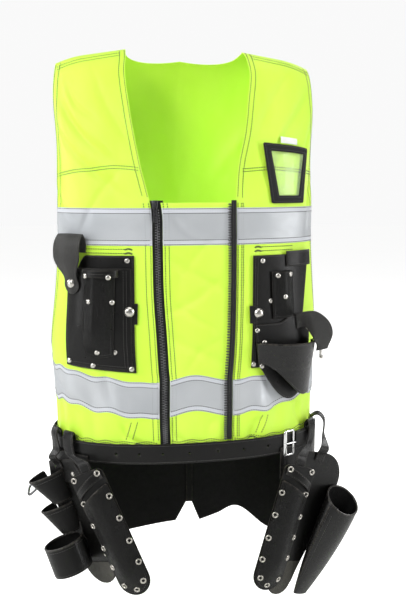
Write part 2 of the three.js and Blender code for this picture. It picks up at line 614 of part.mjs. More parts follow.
function makeBelt() {
  const bottom = BELT.top + BELT.height;
  const whole = beltSheet(0, 360, BELT.top, bottom, BELT.clearance, BELT.thickness, BELT.columns, true);
  add("belt", whole, "leather");
  const tip = { from: BUCKLE.angle + 4, to: BUCKLE.angle + 36 };
  const tipLift = BELT_OUT + 2 * SEAT;
  const tipSheet = beltSheet(tip.from, tip.to, BELT.top + 1, bottom - 1, tipLift, LEATHER, 8);
  add("belt_tip", tipSheet, "leather");
  const frame = new THREE.Shape();
  const [w, h] = [BUCKLE.width / 2, BUCKLE.height / 2];
  frame.moveTo(-w, -h).lineTo(w, -h).lineTo(w, h).lineTo(-w, h).lineTo(-w, -h);
  const hole = new THREE.Path();
  const [a, b] = [w - BUCKLE.bar, h - BUCKLE.bar];
  hole.moveTo(-a, -b).lineTo(-a, b).lineTo(a, b).lineTo(a, -b).lineTo(-a, -b);
  frame.holes.push(hole);
  const frameSolid = new THREE.ExtrudeGeometry(frame, { depth: BUCKLE.thickness, bevelEnabled: false });
  const middle = BELT.top + BELT.height / 2;
  const stand = BELT_OUT + SEAT;
  const spot = (t) => hoop(BUCKLE.angle, middle, stand + t);
  pinned("buckle_frame", frameSolid, "nickel", spot);
  const prong = new THREE.BoxGeometry(BUCKLE.width + 4, BUCKLE.prong, 2.4);
  prong.translate(0, 0, BUCKLE.thickness + SEAT + 1.2);
  pinned("buckle_prong", prong, "nickel", spot);
  const high = tipLift + LEATHER + SEAT;
  const low = BELT.clearance - SEAT;
  const corners = [
    [BELT.top, low, -1, -1],
    [BELT.top, high, -1, 1],
    [bottom, high, 1, 1],
    [bottom, low, 1, -1],
  ];
  const keeper = wall(shares(corners.length), [-0.5, 0.5], (u, v, k) => {
    const [edge, lift, below, outward] = corners[Math.round(u * corners.length) % corners.length];
    const grow = k * KEEPER.thickness;
    const down = edge + below * (SEAT + grow);
    const aside = v * KEEPER.width * hoopDegrees(BUCKLE.angle);
    return hoop(BUCKLE.angle + KEEPER.after + aside, down, lift + outward * grow);
  }, true);
  add("belt_keeper", keeper, "leather");
}

// Straps from the belt to the hip groups

const LOOP = { width: 22, stand: 9, steps: 15 };

// A loop comes up inside the belt, over its top edge, and down its outside to a hip piece.
function hipLoop(name, angle, stand, swing, ends) {
  const bottom = BELT.top + BELT.height;
  const inside = VEST.cloth + 2 * SEAT + LEATHER / 2;
  const stops = [
    [angle, bottom + 10, inside],
    [angle, BELT.top + 6, inside],
    [angle, BELT.top - 6, inside + 0.6],
    [angle + swing / 4, BELT.top - 14, mix(inside, stand, 0.55)],
    [angle + swing / 2, BELT.top - 4, stand],
    [angle + swing, bottom - 12, stand],
  ];
  const scale = hoopDegrees(angle);
  const marks = stops.map(([degrees, down, lift]) => (aside) => hoop(degrees + aside * scale, down, lift));
  add(name, strap([...marks, ...ends], LOOP.width, LEATHER, LOOP.steps), "leather");
}

// A holster: a tapered plate with a round foot, a bulged pocket on it and an arched band above the mouth.
const HOLSTER = { length: 240, top: 33, foot: 31, mouth: 32, slant: 26, bulge: 15, rim: 2 };
const HOLSTER_BAND = { height: 15, arch: 17, left: -30, right: 27, top: 4 };

// Half of the holster's width at a distance below its top.
function holsterHalf(distance) {
  const centre = HOLSTER.length - HOLSTER.foot;
  if (distance <= centre) return mix(HOLSTER.top, HOLSTER.foot, distance / centre);
  return Math.sqrt(Math.max(HOLSTER.foot ** 2 - (distance - centre) ** 2, 0));
}

function makeHolster(name, group, side) {
  const centre = HOLSTER.length - HOLSTER.foot;
  const outline = new THREE.Shape();
  outline.moveTo(-HOLSTER.foot, -centre).absarc(0, -centre, HOLSTER.foot, Math.PI, 2 * Math.PI, false);
  outline.lineTo(HOLSTER.top, -8).lineTo(HOLSTER.top - 10, 0).lineTo(10 - HOLSTER.top, 0);
  outline.lineTo(-HOLSTER.top, -8).lineTo(-HOLSTER.foot, -centre);
  add(`${name}_holster_plate`, flatPlate(outline), "leather", group);

  const base = LEATHER + SEAT;
  const end = HOLSTER.length - HOLSTER.rim - 3;
  const pocket = wall(shares(8), shares(7), (u, v, w) => {
    const across = side > 0 ? u : 1 - u;
    const mouth = HOLSTER.mouth + HOLSTER.slant * (1 - across) ** 1.5;
    const distance = mix(mouth, end, 1 - (1 - v) ** 1.4);
    const half = Math.max(holsterHalf(distance + HOLSTER.rim) - HOLSTER.rim, 3);
    const swell = HOLSTER.bulge * arch(u) ** 1.3 * (1 - ease(0.6, 1, v));
    return new THREE.Vector3((2 * u - 1) * half, -(base + swell + w * LEATHER), -distance);
  });
  add(`${name}_holster_pocket`, pocket, "leather", group);
  const band = wall(shares(8), [0, 1], (u, v, w) => {
    const x = side * mix(HOLSTER_BAND.left, HOLSTER_BAND.right, u);
    const z = -HOLSTER_BAND.top - HOLSTER.slant * (1 - u) ** 1.5 - v * HOLSTER_BAND.height;
    const swell = HOLSTER_BAND.arch * arch(u) ** 0.7;
    return new THREE.Vector3(x, -(base + swell + w * LEATHER), z);
  });
  add(`${name}_holster_band`, band, "leather", group);
}

// A half round pocket on a hip plate: x is its middle, half its half width, deep how far it stands out.
function halfPocket(spec, out) {
  return wall(shares(10), shares(4), (u, v, w) => {
    const angle = Math.PI * u;
    const half = spec.half * mix(1, spec.taper, v) + w * LEATHER;
    const deep = spec.deep * mix(1, spec.taper, v) + w * LEATHER;
    const shift = spec.lean * v + spec.nose * Math.sin(angle) * (1 - v);
    const z = spec.top - spec.height * v - spec.dip * Math.sin(angle) * (1 - v);
    return new THREE.Vector3(spec.x + shift - half * Math.cos(angle), -out - deep * Math.sin(angle), z);
  });
}

// Right hip: a plate with two half round pockets and a cup one below the other, a steel ring for a
// hammer, and the holster in front of them

const RIGHT_HIP = { x: -242, y: -69, z: -BELT.top - 43, yaw: -50, tilt: -17, lean: 10 };
const RIGHT_PLATE = { topHalf: 34, half: 52, shoulder: 50, length: 250, foot: 42 };
const UPPER_POUCH = {
  x: -30, half: 27, deep: 42, top: -19, height: 54, taper: 0.62, nose: -16, lean: 8, dip: 4,
};
const MIDDLE_POUCH = {
  x: -35, half: 26, deep: 38, top: -83, height: 50, taper: 0.7, nose: -14, lean: 6, dip: 2,
};
const CUP = { x: -26, radius: 34, top: -144, height: 56, gap: 0.4 };
const RING = {
  reach: 15, half: 15, wire: 1.8, gap: 3.6, share: 0.12, drop: 11, dip: 0.4, roll: 1.57, sides: 6, steps: 20,
};
const RING_TAB = { half: 10, width: 14, steps: 10 };
const RIGHT_HOLSTER = { x: -198, y: -130, z: -BELT.top - 48, yaw: -24, tilt: -25, lean: 0 };

function makeRightHip() {
  const group = hang(new THREE.Vector3(RIGHT_HIP.x, RIGHT_HIP.y, RIGHT_HIP.z), RIGHT_HIP);
  const { topHalf, half, shoulder, length, foot } = RIGHT_PLATE;
  const outline = new THREE.Shape();
  outline.moveTo(-foot, foot - length).absarc(0, foot - length, foot, Math.PI, 2 * Math.PI, false);
  outline.lineTo(half, -shoulder).lineTo(topHalf, 0).lineTo(-topHalf, 0).lineTo(-half, -shoulder);
  outline.lineTo(-foot, foot - length);
  add("right_hip_plate", flatPlate(outline), "leather", group);
  const out = LEATHER + SEAT;
  add("right_upper_pouch", halfPocket(UPPER_POUCH, out), "leather", group);
  add("right_middle_pouch", halfPocket(MIDDLE_POUCH, out), "leather", group);
  const cup = wall(shares(16), [0, 0.5, 1], (u, v, w) => {
    const angle = 2 * Math.PI * u;
    const radius = CUP.radius + w * LEATHER;
    const middle = out + CUP.gap + CUP.radius + LEATHER;
    const x = CUP.x + radius * Math.cos(angle);
    return new THREE.Vector3(x, -middle - radius * Math.sin(angle), CUP.top - v * CUP.height);
  }, true);
  add("right_cup", cup, "leather", group);
  makeRing(group, out);

  const holster = hang(new THREE.Vector3(RIGHT_HOLSTER.x, RIGHT_HOLSTER.y, RIGHT_HOLSTER.z), RIGHT_HOLSTER);
  makeHolster("right", holster, 1);
  hipLoop("right_loop_outer", -72, BELT_OUT + LOOP.stand, 5, seatedOn(group, -8));
  hipLoop("right_loop_inner", -58, BELT_OUT + LOOP.stand, 3, seatedBehind(holster, 0));
}

// The last stops of a loop: down onto the front of a piece, or behind it.
function seatedOn(group, x) {
  const out = LEATHER + SEAT + LEATHER / 2;
  return [[out + 5, 10], [out, -5], [out, -16]].map(([far, z]) => (aside) => within(group, x + aside, far, z));
}

function seatedBehind(group, x) {
  const out = -SEAT - LEATHER / 2;
  return [[out - 2, 14], [out, -6], [out, -26]].map(([far, z]) => (aside) => within(group, x + aside, far, z));
}

// The steel ring stands out from the upper pouch's wall, its straight side under a leather tab.
function makeRing(group, out) {
  const pouch = UPPER_POUCH;
  const angle = Math.PI * RING.share;
  const down = RING.drop / pouch.height;
  const size = mix(1, pouch.taper, down);
  const x = pouch.x + pouch.lean * down + pouch.nose * Math.sin(angle) * (1 - down);
  const seat = new THREE.Group();
  const wallOut = out + (pouch.deep * size + LEATHER) * Math.sin(angle);
  const z = pouch.top - RING.drop - pouch.dip * Math.sin(angle) * (1 - down);
  seat.position.set(x - (pouch.half * size + LEATHER) * Math.cos(angle), -wallOut, z);
  seat.rotation.set(0, RING.dip, Math.PI + angle, "ZYX");
  seat.rotateX(RING.roll);
  group.add(seat);
  const bar = RING.gap + RING.wire;
  const path = (t) => {
    const turn = 2 * Math.PI * t;
    const square = (value) => Math.sign(value) * Math.abs(value) ** 0.7;
    const reach = RING.reach * (1 + square(Math.cos(turn)));
    return new THREE.Vector3(bar + reach, 0, RING.half * square(Math.sin(turn)));
  };
  add("hammer_ring", wireLoop(path, RING.wire, RING.steps, RING.sides), "nickel", seat);
  const over = bar + RING.wire + 2 * SEAT + LEATHER / 2;
  const [{ half }, low] = [RING_TAB, RING.gap + LEATHER / 2];
  const stops = [[-half, low], [-0.6 * half, low], [0, over], [0.6 * half, low], [half, low]];
  const marks = stops.map(([y, far]) => (aside) => new THREE.Vector3(far, y, aside));
  add("ring_tab", strap(marks, RING_TAB.width, LEATHER, RING_TAB.steps), "leather", seat);
}

// A round wire along a flat closed path in X and Z.
function wireLoop(path, radius, steps, sides) {
  const middle = path(0.25).add(path(0.75)).multiplyScalar(0.5);
  const points = [];
  for (let i = 0; i < steps; i += 1) {
    const point = path(i / steps);
    const tangent = path((i + 0.01) / steps).sub(path((i - 0.01) / steps));
    const outward = new THREE.Vector3(tangent.z, 0, -tangent.x).normalize();
    if (outward.dot(point.clone().sub(middle)) < 0) outward.negate();
    for (let k = 0; k < sides; k += 1) {
      const angle = (2 * Math.PI * k) / sides;
      const around = point.clone().addScaledVector(outward, radius * Math.cos(angle));
      points.push(around.add(new THREE.Vector3(0, radius * Math.sin(angle), 0)));
    }
  }
  const id = (i, k) => (i % steps) * sides + (k % sides);
  const quads = [];
  for (let i = 0; i < steps; i += 1) {
    for (let k = 0; k < sides; k += 1) quads.push([id(i, k), id(i + 1, k), id(i + 1, k + 1), id(i, k + 1)]);
  }
  return closedGeometry(points, quads);
}

// Left hip: a round-shouldered plate with a long pouch, and the holster in front of it

const LEFT_HIP = { x: 253, y: -89, z: -BELT.top - 52, yaw: 22, tilt: 16, lean: 4 };
const LEFT_PLATE = { half: 60, round: 52, length: 290, foot: 26, aside: 14, drop: 30, corner: 20, neck: 40 };
const LONG_POUCH = {
  x: 58, top: -62, length: 222, half: 34, deep: 25, foot: 13, thin: 3.4, lean: -16, dip: 38,
};
const LEFT_HOLSTER = { x: 194, y: -142, z: -BELT.top - 56, yaw: 14, tilt: 18, lean: 0 };

function makeLeftHip() {
  const group = hang(new THREE.Vector3(LEFT_HIP.x, LEFT_HIP.y, LEFT_HIP.z), LEFT_HIP);
  const { half, round, length, foot, aside, drop, corner, neck } = LEFT_PLATE;
  const outline = new THREE.Shape();
  outline.moveTo(-foot - aside, foot - length);
  outline.absarc(-aside, foot - length, foot, Math.PI, 2 * Math.PI, false);
  outline.lineTo(half, -round - drop).absarc(half - round, -round, round, 0, Math.PI / 2, false);
  outline.lineTo(corner - half, 0).lineTo(corner / 2 - half, -neck).lineTo(-foot - aside, foot - length);
  add("left_hip_plate", flatPlate(outline), "leather", group);
  const out = LEATHER + SEAT;
  const pouch = wall(shares(16), shares(6), (u, v, w) => {
    const angle = 2 * Math.PI * u;
    const wide = mix(LONG_POUCH.half, LONG_POUCH.foot, v ** 2.6) + w * LEATHER;
    const deep = mix(LONG_POUCH.deep, LONG_POUCH.thin - LEATHER, v ** 1.3) + w * LEATHER;
    const middle = out + LEATHER + mix(LONG_POUCH.deep, LONG_POUCH.thin - LEATHER, v ** 1.3);
    const x = LONG_POUCH.x + LONG_POUCH.lean * v + wide * Math.cos(angle);
    const dip = LONG_POUCH.dip * (0.5 + 0.5 * Math.sin(angle)) * (1 - v);
    return new THREE.Vector3(x, -middle - deep * Math.sin(angle), LONG_POUCH.top - dip - v * LONG_POUCH.length);
  }, true);
  add("left_long_pouch", pouch, "leather", group);
  const holster = hang(new THREE.Vector3(LEFT_HOLSTER.x, LEFT_HOLSTER.y, LEFT_HOLSTER.z), LEFT_HOLSTER);
  makeHolster("left", holster, -1);
  hipLoop("left_loop_outer", 74, BELT_OUT + 20, -3, seatedOn(group, -6));
  hipLoop("left_loop_inner", 60, BELT_OUT + LOOP.stand, -4, seatedBehind(holster, 0));
}

// Rear panels: leather that hangs from the belt behind. angle is measured from the middle of the back,
// foot is the share of the length down to the lower edge.
const REAR = { top: BELT.top + 6, length: 280, clearance: 1.2, notch: 0.79, curl: 12, middle: 6, part: 0.06 };
const RIGHT_FOOT = [
  { angle: -58, foot: 1 },
  { angle: -40, foot: 0.985 },
  { angle: -24, foot: 0.965 },
  { angle: -10, foot: 0.94 },
  { angle: -1, foot: 0.925 },
];
const LEFT_FOOT = [
  { angle: 11, foot: 0.93 },
  { angle: 20, foot: 0.885 },
  { angle: 30, foot: 0.84 },
  { angle: 44, foot: 0.97 },
  { angle: 58, foot: 1 },
];

// side is -1 on the right and 1 on the left. The inner edge slants away below the notch.
function makeRearPanel(name, table, side) {
  const rows = [0, 0.2, 0.45, REAR.notch, 0.88, 1];
  const panel = wall(shares(8), rows, (u, v, w) => {
    const level = u * (table.length - 1);
    const inner = side < 0 ? u : 1 - u;
    const low = ease(REAR.notch, 1, v);
    const edge = REAR.middle + side * REAR.part;
    const straight = mix(side * 58, edge, inner);
    const degrees = mix(straight, column(table, "angle", level), v < REAR.notch ? 0 : low);
    const down = REAR.top + REAR.length * column(table, "foot", level) * v;
    const curl = REAR.curl * v ** 2 * Math.sin(Math.PI * 3 * u) ** 2;
    return hoop(180 - degrees, down, BELT_OUT + REAR.clearance + curl + w * LEATHER);
  });
  add(name, panel, "leather");
}

makeVest();
makeZips();
makeCardPocket();
makeRightChest();
makeLeftChest();
makeBelt();
makeRightHip();
makeLeftHip();
makeRearPanel("right_rear_panel", RIGHT_FOOT, -1);
makeRearPanel("left_rear_panel", LEFT_FOOT, 1);

export default work;
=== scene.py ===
import math

import bmesh
import bpy
from mathutils import Matrix, Vector
from mathutils.bvhtree import BVHTree


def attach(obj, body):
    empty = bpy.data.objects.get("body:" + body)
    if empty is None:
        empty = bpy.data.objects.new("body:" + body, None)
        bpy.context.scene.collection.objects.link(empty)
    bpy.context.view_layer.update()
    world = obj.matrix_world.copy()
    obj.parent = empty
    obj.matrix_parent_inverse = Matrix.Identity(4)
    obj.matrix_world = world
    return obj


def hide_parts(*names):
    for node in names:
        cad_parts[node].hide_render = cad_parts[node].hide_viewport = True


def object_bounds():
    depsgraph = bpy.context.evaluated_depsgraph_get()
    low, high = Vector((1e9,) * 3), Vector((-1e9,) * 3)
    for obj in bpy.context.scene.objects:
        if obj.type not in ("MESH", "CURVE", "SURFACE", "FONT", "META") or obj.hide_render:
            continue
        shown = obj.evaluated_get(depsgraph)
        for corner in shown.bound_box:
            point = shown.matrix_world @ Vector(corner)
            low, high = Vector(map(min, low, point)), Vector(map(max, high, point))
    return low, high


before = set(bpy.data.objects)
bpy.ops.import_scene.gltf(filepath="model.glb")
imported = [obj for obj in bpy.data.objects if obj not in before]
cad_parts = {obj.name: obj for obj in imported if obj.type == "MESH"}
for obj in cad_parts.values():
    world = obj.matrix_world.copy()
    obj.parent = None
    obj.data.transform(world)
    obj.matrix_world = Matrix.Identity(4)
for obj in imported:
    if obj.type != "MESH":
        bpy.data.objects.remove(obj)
cad_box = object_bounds()

MM = 0.001

# Sizes in millimetres, the same as the frame's

LENGTH = 712
ARMHOLE_END = 562
HALF_WIDTH = 256
DEPTH = {"front": 136, "back": 122}
CLOTH = 1.6
SEAM = 0.6
SQUARE = 2.4
LEATHER = 2.4
SEAT = 0.4
OVER_CLOTH = 1.4
PLATE_LIFT = CLOTH + OVER_CLOTH
CHEST_BAND = 281
WAIST_BAND = 580
BAND_HEIGHT = 65
BAND_LIFT = CLOTH + 0.4
BAND_THICK = 1
BAND_SEAMS = (1.6, 9.2)
SELVEDGE = 9.5
ZIP_TOP = 268
ZIP_END = 704
ZIP_WIDTH = 18
BELT_TOP = 698
BELT_HEIGHT = 37
BELT_BOTTOM = BELT_TOP + BELT_HEIGHT
BELT_IN = 6
BELT_OUT = 9
BUCKLE_ANGLE = 42

# down, half width, front, back, armhole, right edge, left edge
SECTIONS = [
    (0.0, 0.955, 0.0, 0.0, 66, 25, 25),
    (0.007, 0.955, 0.147, 0.18, 67, 25.2, 25.2),
    (0.028, 0.957, 0.309, 0.393, 68.5, 25.5, 25.5),
    (0.067, 0.959, 0.456, 0.59, 70, 26.1, 25.7),
    (0.133, 0.957, 0.618, 0.795, 71, 25.3, 23.8),
    (0.211, 0.95, 0.735, 0.926, 71, 23.8, 22),
    (0.298, 0.945, 0.81, 0.984, 71, 21.3, 18.9),
    (0.395, 0.944, 0.86, 1.0, 71, 17.7, 17.9),
    (0.486, 0.944, 0.875, 0.992, 72, 17.3, 17.9),
    (0.604, 0.962, 0.89, 0.967, 75, 16.8, 17.5),
    (0.716, 0.985, 0.9, 0.934, 81, 15.4, 16.7),
    (0.791, 0.98, 0.91, 0.918, 90, 14.8, 16),
    (0.815, 0.975, 0.915, 0.918, 90, 14.6, 15.7),
    (0.906, 0.963, 0.956, 0.918, 90, 15, 15.6),
    (1.0, 0.96, 1.0, 0.926, 90, 14.8, 15.5),
]
COLUMNS = {"down": 0, "half": 1, "front": 2, "back": 3, "armhole": 4, "right": 5, "left": 6}

# Folds: face, angle, width in degrees, from and to as shares of the length, rise
FOLDS = [
    ("front", -33, 3.5, 0.84, 0.985, 6),
    ("front", -44, 5, 0.78, 0.985, -5),
    ("front", -58, 6, 0.74, 0.985, 5),
    ("front", -8, 5, 0.42, 0.8, -4),
    ("front", 5, 5, 0.5, 0.92, 5),
    ("front", 27, 4, 0.84, 0.985, 5),
    ("front", 40, 5, 0.8, 0.985, -5),
    ("front", 64, 6, 0.78, 0.985, 4),
    ("back", 0, 9, 0.25, 0.8, -6),
    ("back", 34, 7, 0.55, 0.985, 6),
    ("back", -36, 7, 0.6, 0.985, 6),
]

# Soft creases in the cloth: face, angle and down of each end, width and rise
CREASES = [
    ("front", -62, 70, -34, 205, 9, -2.2),
    ("front", -66, 120, -30, 262, 8, -1.9),
    ("front", -58, 40, -44, 160, 7, 0.9),
    ("front", -40, 36, -24, 190, 7, -1.6),
    ("front", 60, 62, 30, 230, 9, -1.8),
    ("front", 46, 30, 27, 150, 7, -1.4),
    ("front", 66, 110, 50, 262, 7, -1.6),
    ("front", -70, 250, -56, 300, 6, -1.4),
    ("front", 68, 240, 58, 330, 7, -1.6),
    ("front", -12, 360, 14, 430, 8, -2.2),
    ("front", -14, 470, 12, 410, 7, -1.8),
    ("front", -12, 500, 13, 560, 9, -2.0),
    ("front", -68, 575, -30, 545, 8, -1.6),
    ("front", 70, 520, 46, 575, 8, -2.0),
    ("front", 78, 590, 40, 640, 9, -2.4),
    ("front", -76, 600, -48, 650, 8, -2.0),
    ("front", -30, 655, -24, 705, 6, -2.6),
    ("front", 30, 655, 22, 706, 6, -2.4),
    ("front", 50, 650, 56, 706, 7, -2.2),
    ("front", -10, 655, -6, 700, 6, -1.6),
    ("front", 10, 650, 4, 700, 6, -1.6),
    ("front", 31, 560, 37, 665, 8, -2.4),
    ("front", -37, 560, -32, 665, 8, -2.2),
    ("front", -56, 50, -40, 130, 5, -1.2),
    ("front", -30, 215, -52, 330, 6, -1.3),
    ("front", 52, 90, 34, 200, 6, -1.2),
    ("front", -9, 290, 3, 345, 6, -1.2),
    ("front", 11, 330, -6, 400, 6, -1.4),
    ("front", -11, 430, 8, 500, 6, -1.3),
    ("front", 11, 510, -4, 570, 6, -1.4),
    ("back", -50, 60, -14, 240, 12, -2.4),
    ("back", 50, 60, 14, 240, 12, -2.4),
    ("back", -30, 120, -48, 420, 11, -2.0),
    ("back", 28, 150, 46, 430, 11, -2.0),
    ("back", -60, 380, -20, 470, 11, -2.6),
    ("back", 62, 400, 18, 500, 11, -2.6),
    ("back", -20, 480, 24, 540, 10, -2.2),
    ("back", -74, 520, -36, 600, 10, -2.4),
    ("back", 74, 530, 30, 610, 10, -2.4),
    ("back", -12, 600, -18, 700, 9, -2.4),
    ("back", 16, 610, 20, 700, 9, -2.4),
    ("back", -46, 640, -44, 704, 8, -2.0),
    ("back", 48, 640, 50, 704, 8, -2.0),
]

# The creases' rises are drawn this many times over
CREASE_DEPTH = 2.0


def mix(a, b, share):
    return a + (b - a) * share


def clamp(value, low=0, high=1):
    return min(max(value, low), high)


def ease(low, high, value):
    t = clamp((value - low) / (high - low))
    return t * t * (3 - 2 * t)


def arch(share):
    return math.sin(math.pi * clamp(share))


def shares(count):
    return [i / count for i in range(count + 1)]


def spaced(low, high, count):
    return [mix(low, high, i / count) for i in range(count + 1)]


def smooth_value(values, level):
    """The value at a fractional row, on a smooth curve through the rows."""
    last = len(values) - 1
    row = int(clamp(math.floor(level), 0, last - 1))
    before, start, end, after = (values[int(clamp(row + k, 0, last))] for k in (-1, 0, 1, 2))
    t = level - row
    rise, next_rise = (end - before) / 2, (after - start) / 2
    first = (2 * t**3 - 3 * t**2 + 1) * start + (t**3 - 2 * t**2 + t) * rise
    return first + (3 * t**2 - 2 * t**3) * end + (t**3 - t**2) * next_rise


def section_profile():
    """The sections at each half millimetre down, so that a place costs little to look up."""
    tables = [[row[k] for row in SECTIONS] for k in range(len(COLUMNS))]
    rows = []
    for step in range(2 * LENGTH + 1):
        low, high = 0.0, len(SECTIONS) - 1.0
        for _ in range(30):
            middle = (low + high) / 2
            if smooth_value(tables[0], middle) * LENGTH < step / 2:
                low = middle
            else:
                high = middle
        rows.append([smooth_value(table, low) for table in tables])
    return rows


PROFILE = section_profile()


def section(name, down):
    place = clamp(2 * down, 0, 2 * LENGTH - 0.001)
    row, k = int(place), COLUMNS[name]
    return mix(PROFILE[row][k], PROFILE[row + 1][k], place - row)


def armhole(down):
    return min(section("armhole", down), 90)


def square_radius(angle):
    return (abs(math.sin(angle)) ** SQUARE + abs(math.cos(angle)) ** SQUARE) ** (-1 / SQUARE)


def bare(face, degrees, down):
    angle = math.radians(degrees)
    radius = square_radius(angle)
    place = clamp(2 * down, 0, 2 * LENGTH - 0.001)
    row = int(place)
    share = place - row
    first, second = PROFILE[row], PROFILE[row + 1]
    k = COLUMNS[face]
    y = SEAM / 2 + DEPTH[face] * mix(first[k], second[k], share) * radius * math.cos(angle)
    x = HALF_WIDTH * mix(first[1], second[1], share) * radius * math.sin(angle)
    drop = 0.162 * (abs(x) - 104) + 0.003 * max(0, abs(x) - 180) ** 2
    z = -down - drop * (1 - ease(48, 281, down))
    return Vector((x, -y if face == "front" else y, z))


def body(face, degrees, down, lift):
    """A point of the body surface, lifted outwards."""
    step = 0.25
    across = bare(face, degrees + step, down) - bare(face, degrees - step, down)
    along = bare(face, degrees, down + step) - bare(face, degrees, max(down - step, 0))
    normal = along.cross(across).normalized()
    return bare(face, degrees, down) + normal * (lift if face == "front" else -lift)


def sag(face, degrees, down):
    side = abs(degrees)
    front = 0.5 * ease(0, 15, side) - ease(15, 70, side) - 0.1
    share = front if face == "front" else -0.6
    return 24 * share * ease(480, 575, down) * (1 - ease(650, LENGTH, down))


def fold_lift(face, degrees, down):
    total = 0
    for side, angle, width, top, bottom, rise in FOLDS:
        if side == face and abs(degrees - angle) < 3 * width:
            place = clamp((down / LENGTH - top) / (bottom - top))
            total += rise * arch(place) ** 2 * math.exp(-(((degrees - angle) / width) ** 2))
    for side, a0, d0, a1, d1, width, rise in CREASES:
        if side != face:
            continue
        # Millimetres along and beside the crease's own line
        px, py = (degrees - a0) * 3.6, down - d0
        lx, ly = (a1 - a0) * 3.6, d1 - d0
        size = math.hypot(lx, ly)
        along = (px * lx + py * ly) / size / size
        if not -0.2 < along < 1.2:
            continue
        beside_it = (px * ly - py * lx) / size + 5 * math.sin(along * 4)
        reach = ease(-0.2, 0.25, along) * (1 - ease(0.7, 1.2, along))
        total += CREASE_DEPTH * rise * reach * math.exp(-((beside_it / width) ** 2))
    return total


def waist_wave(face, degrees, down):
    """The waist's seams run in small waves, as the cloth bunches over the belt."""
    reach = ease(555, 600, down) * (1 - ease(655, LENGTH, down))
    if face == "back":
        return reach * 2 * math.sin(degrees * 0.16)
    wave = 2.6 * math.sin(degrees * 0.42 + 0.9) + 1.8 * math.sin(degrees * 0.23 - 0.5)
    return reach * wave * ease(14, 24, abs(degrees))


def undulation(face, degrees, down):
    """Broad slanted rolls, from the shoulders to the chest and across the waist."""
    slant = 0.016 * down if degrees > 0 else -0.016 * down
    upper = ease(30, 90, down) * (1 - ease(240, 300, down))
    roll = -1.7 * upper * (1 + math.sin(degrees * 0.3 + slant * 1.6 + 1.1))
    lower = ease(640, 670, down) * (1 - ease(698, LENGTH, down))
    return roll - 1.3 * lower * (1 + math.sin(degrees * 0.55 + 0.7))


def cloth(face, degrees, down, lift):
    place = down + sag(face, degrees, down) + waist_wave(face, degrees, down)
    return body(face, degrees, place, lift + fold_lift(face, degrees, down) + undulation(face, degrees, down))


def per_mm(face, degrees, down):
    """Degrees for a millimetre across."""
    return 1 / (bare(face, degrees + 0.5, down) - bare(face, degrees - 0.5, down)).length


MIDDLE_PER_MM = per_mm("front", 0, CHEST_BAND)
SCALES = {}


def beside(place, x, y, lift):
    """A point beside and below a place on the body, in millimetres, without the cloth's folds."""
    angle, down = place
    if place not in SCALES:
        SCALES[place] = per_mm("front", angle, down)
    return body("front", angle + x * SCALES[place], down + y, lift)


def hoop(degrees, down, lift):
    """A point on the belt line, lifted outwards."""
    angle = math.radians(degrees)
    half = HALF_WIDTH * PROFILE[-1][1]
    depth = DEPTH["front"] * PROFILE[-1][2] if math.cos(angle) > 0 else DEPTH["back"] * PROFILE[-1][3]
    radius = square_radius(angle)
    x, y = half * radius * math.sin(angle), -depth * radius * math.cos(angle)
    nx = math.copysign((abs(x) / half) ** (SQUARE - 1) / half, x)
    ny = math.copysign((abs(y) / depth) ** (SQUARE - 1) / depth, y)
    size = math.hypot(nx, ny)
    return Vector((x + lift * nx / size, y + lift * ny / size, -down))


def hoop_degrees(at):
    return 1 / (hoop(at + 0.5, 0, BELT_OUT) - hoop(at - 0.5, 0, BELT_OUT)).length


def hang(x, y, z, yaw, tilt, lean):
    turn = Matrix.Rotation(math.radians(yaw), 4, "Z") @ Matrix.Rotation(math.radians(tilt), 4, "Y")
    return Matrix.Translation((x, y, z)) @ turn @ Matrix.Rotation(math.radians(lean), 4, "X")


def within(place, x, out, z):
    return place @ Vector((x, -out, z))


# Materials

def node(tree, kind, values=None, **settings):
    made = tree.nodes.new(kind)
    for key, value in settings.items():
        setattr(made, key, value)
    for key, value in (values or {}).items():
        if isinstance(value, bpy.types.NodeSocket):
            tree.links.new(value, made.inputs[key])
        else:
            made.inputs[key].default_value = value
    return made


def new_group(name, inputs, outputs):
    tree = bpy.data.node_groups.new(name, "ShaderNodeTree")
    for label, kind, value in inputs:
        socket = tree.interface.new_socket(label, in_out="INPUT", socket_type=kind)
        if value is not None:
            socket.default_value = value
    for label in outputs:
        tree.interface.new_socket(label, in_out="OUTPUT", socket_type="NodeSocketFloat")
    return tree, tree.nodes.new("NodeGroupInput"), tree.nodes.new("NodeGroupOutput")


NUMBER, VECTOR = "NodeSocketFloat", "NodeSocketVector"


def math_node(tree, operation, a, b=0.0):
    return node(tree, "ShaderNodeMath", {0: a, 1: b}, operation=operation).outputs[0]


def spread(tree, value, low, high):
    """A value between low and high, stretched to 0 to 1."""
    values = {"Value": value, "From Min": low, "From Max": high}
    return node(tree, "ShaderNodeMapRange", values).outputs[0]


def noise(tree, place, scale, detail):
    return node(tree, "ShaderNodeTexNoise", {"Vector": place, "Scale": scale, "Detail": detail})


def wave(tree, place, scale, distortion, direction, detail=2.0):
    values = {"Vector": place, "Scale": scale, "Distortion": distortion, "Detail": detail}
    return node(tree, "ShaderNodeTexWave", values, bands_direction=direction)


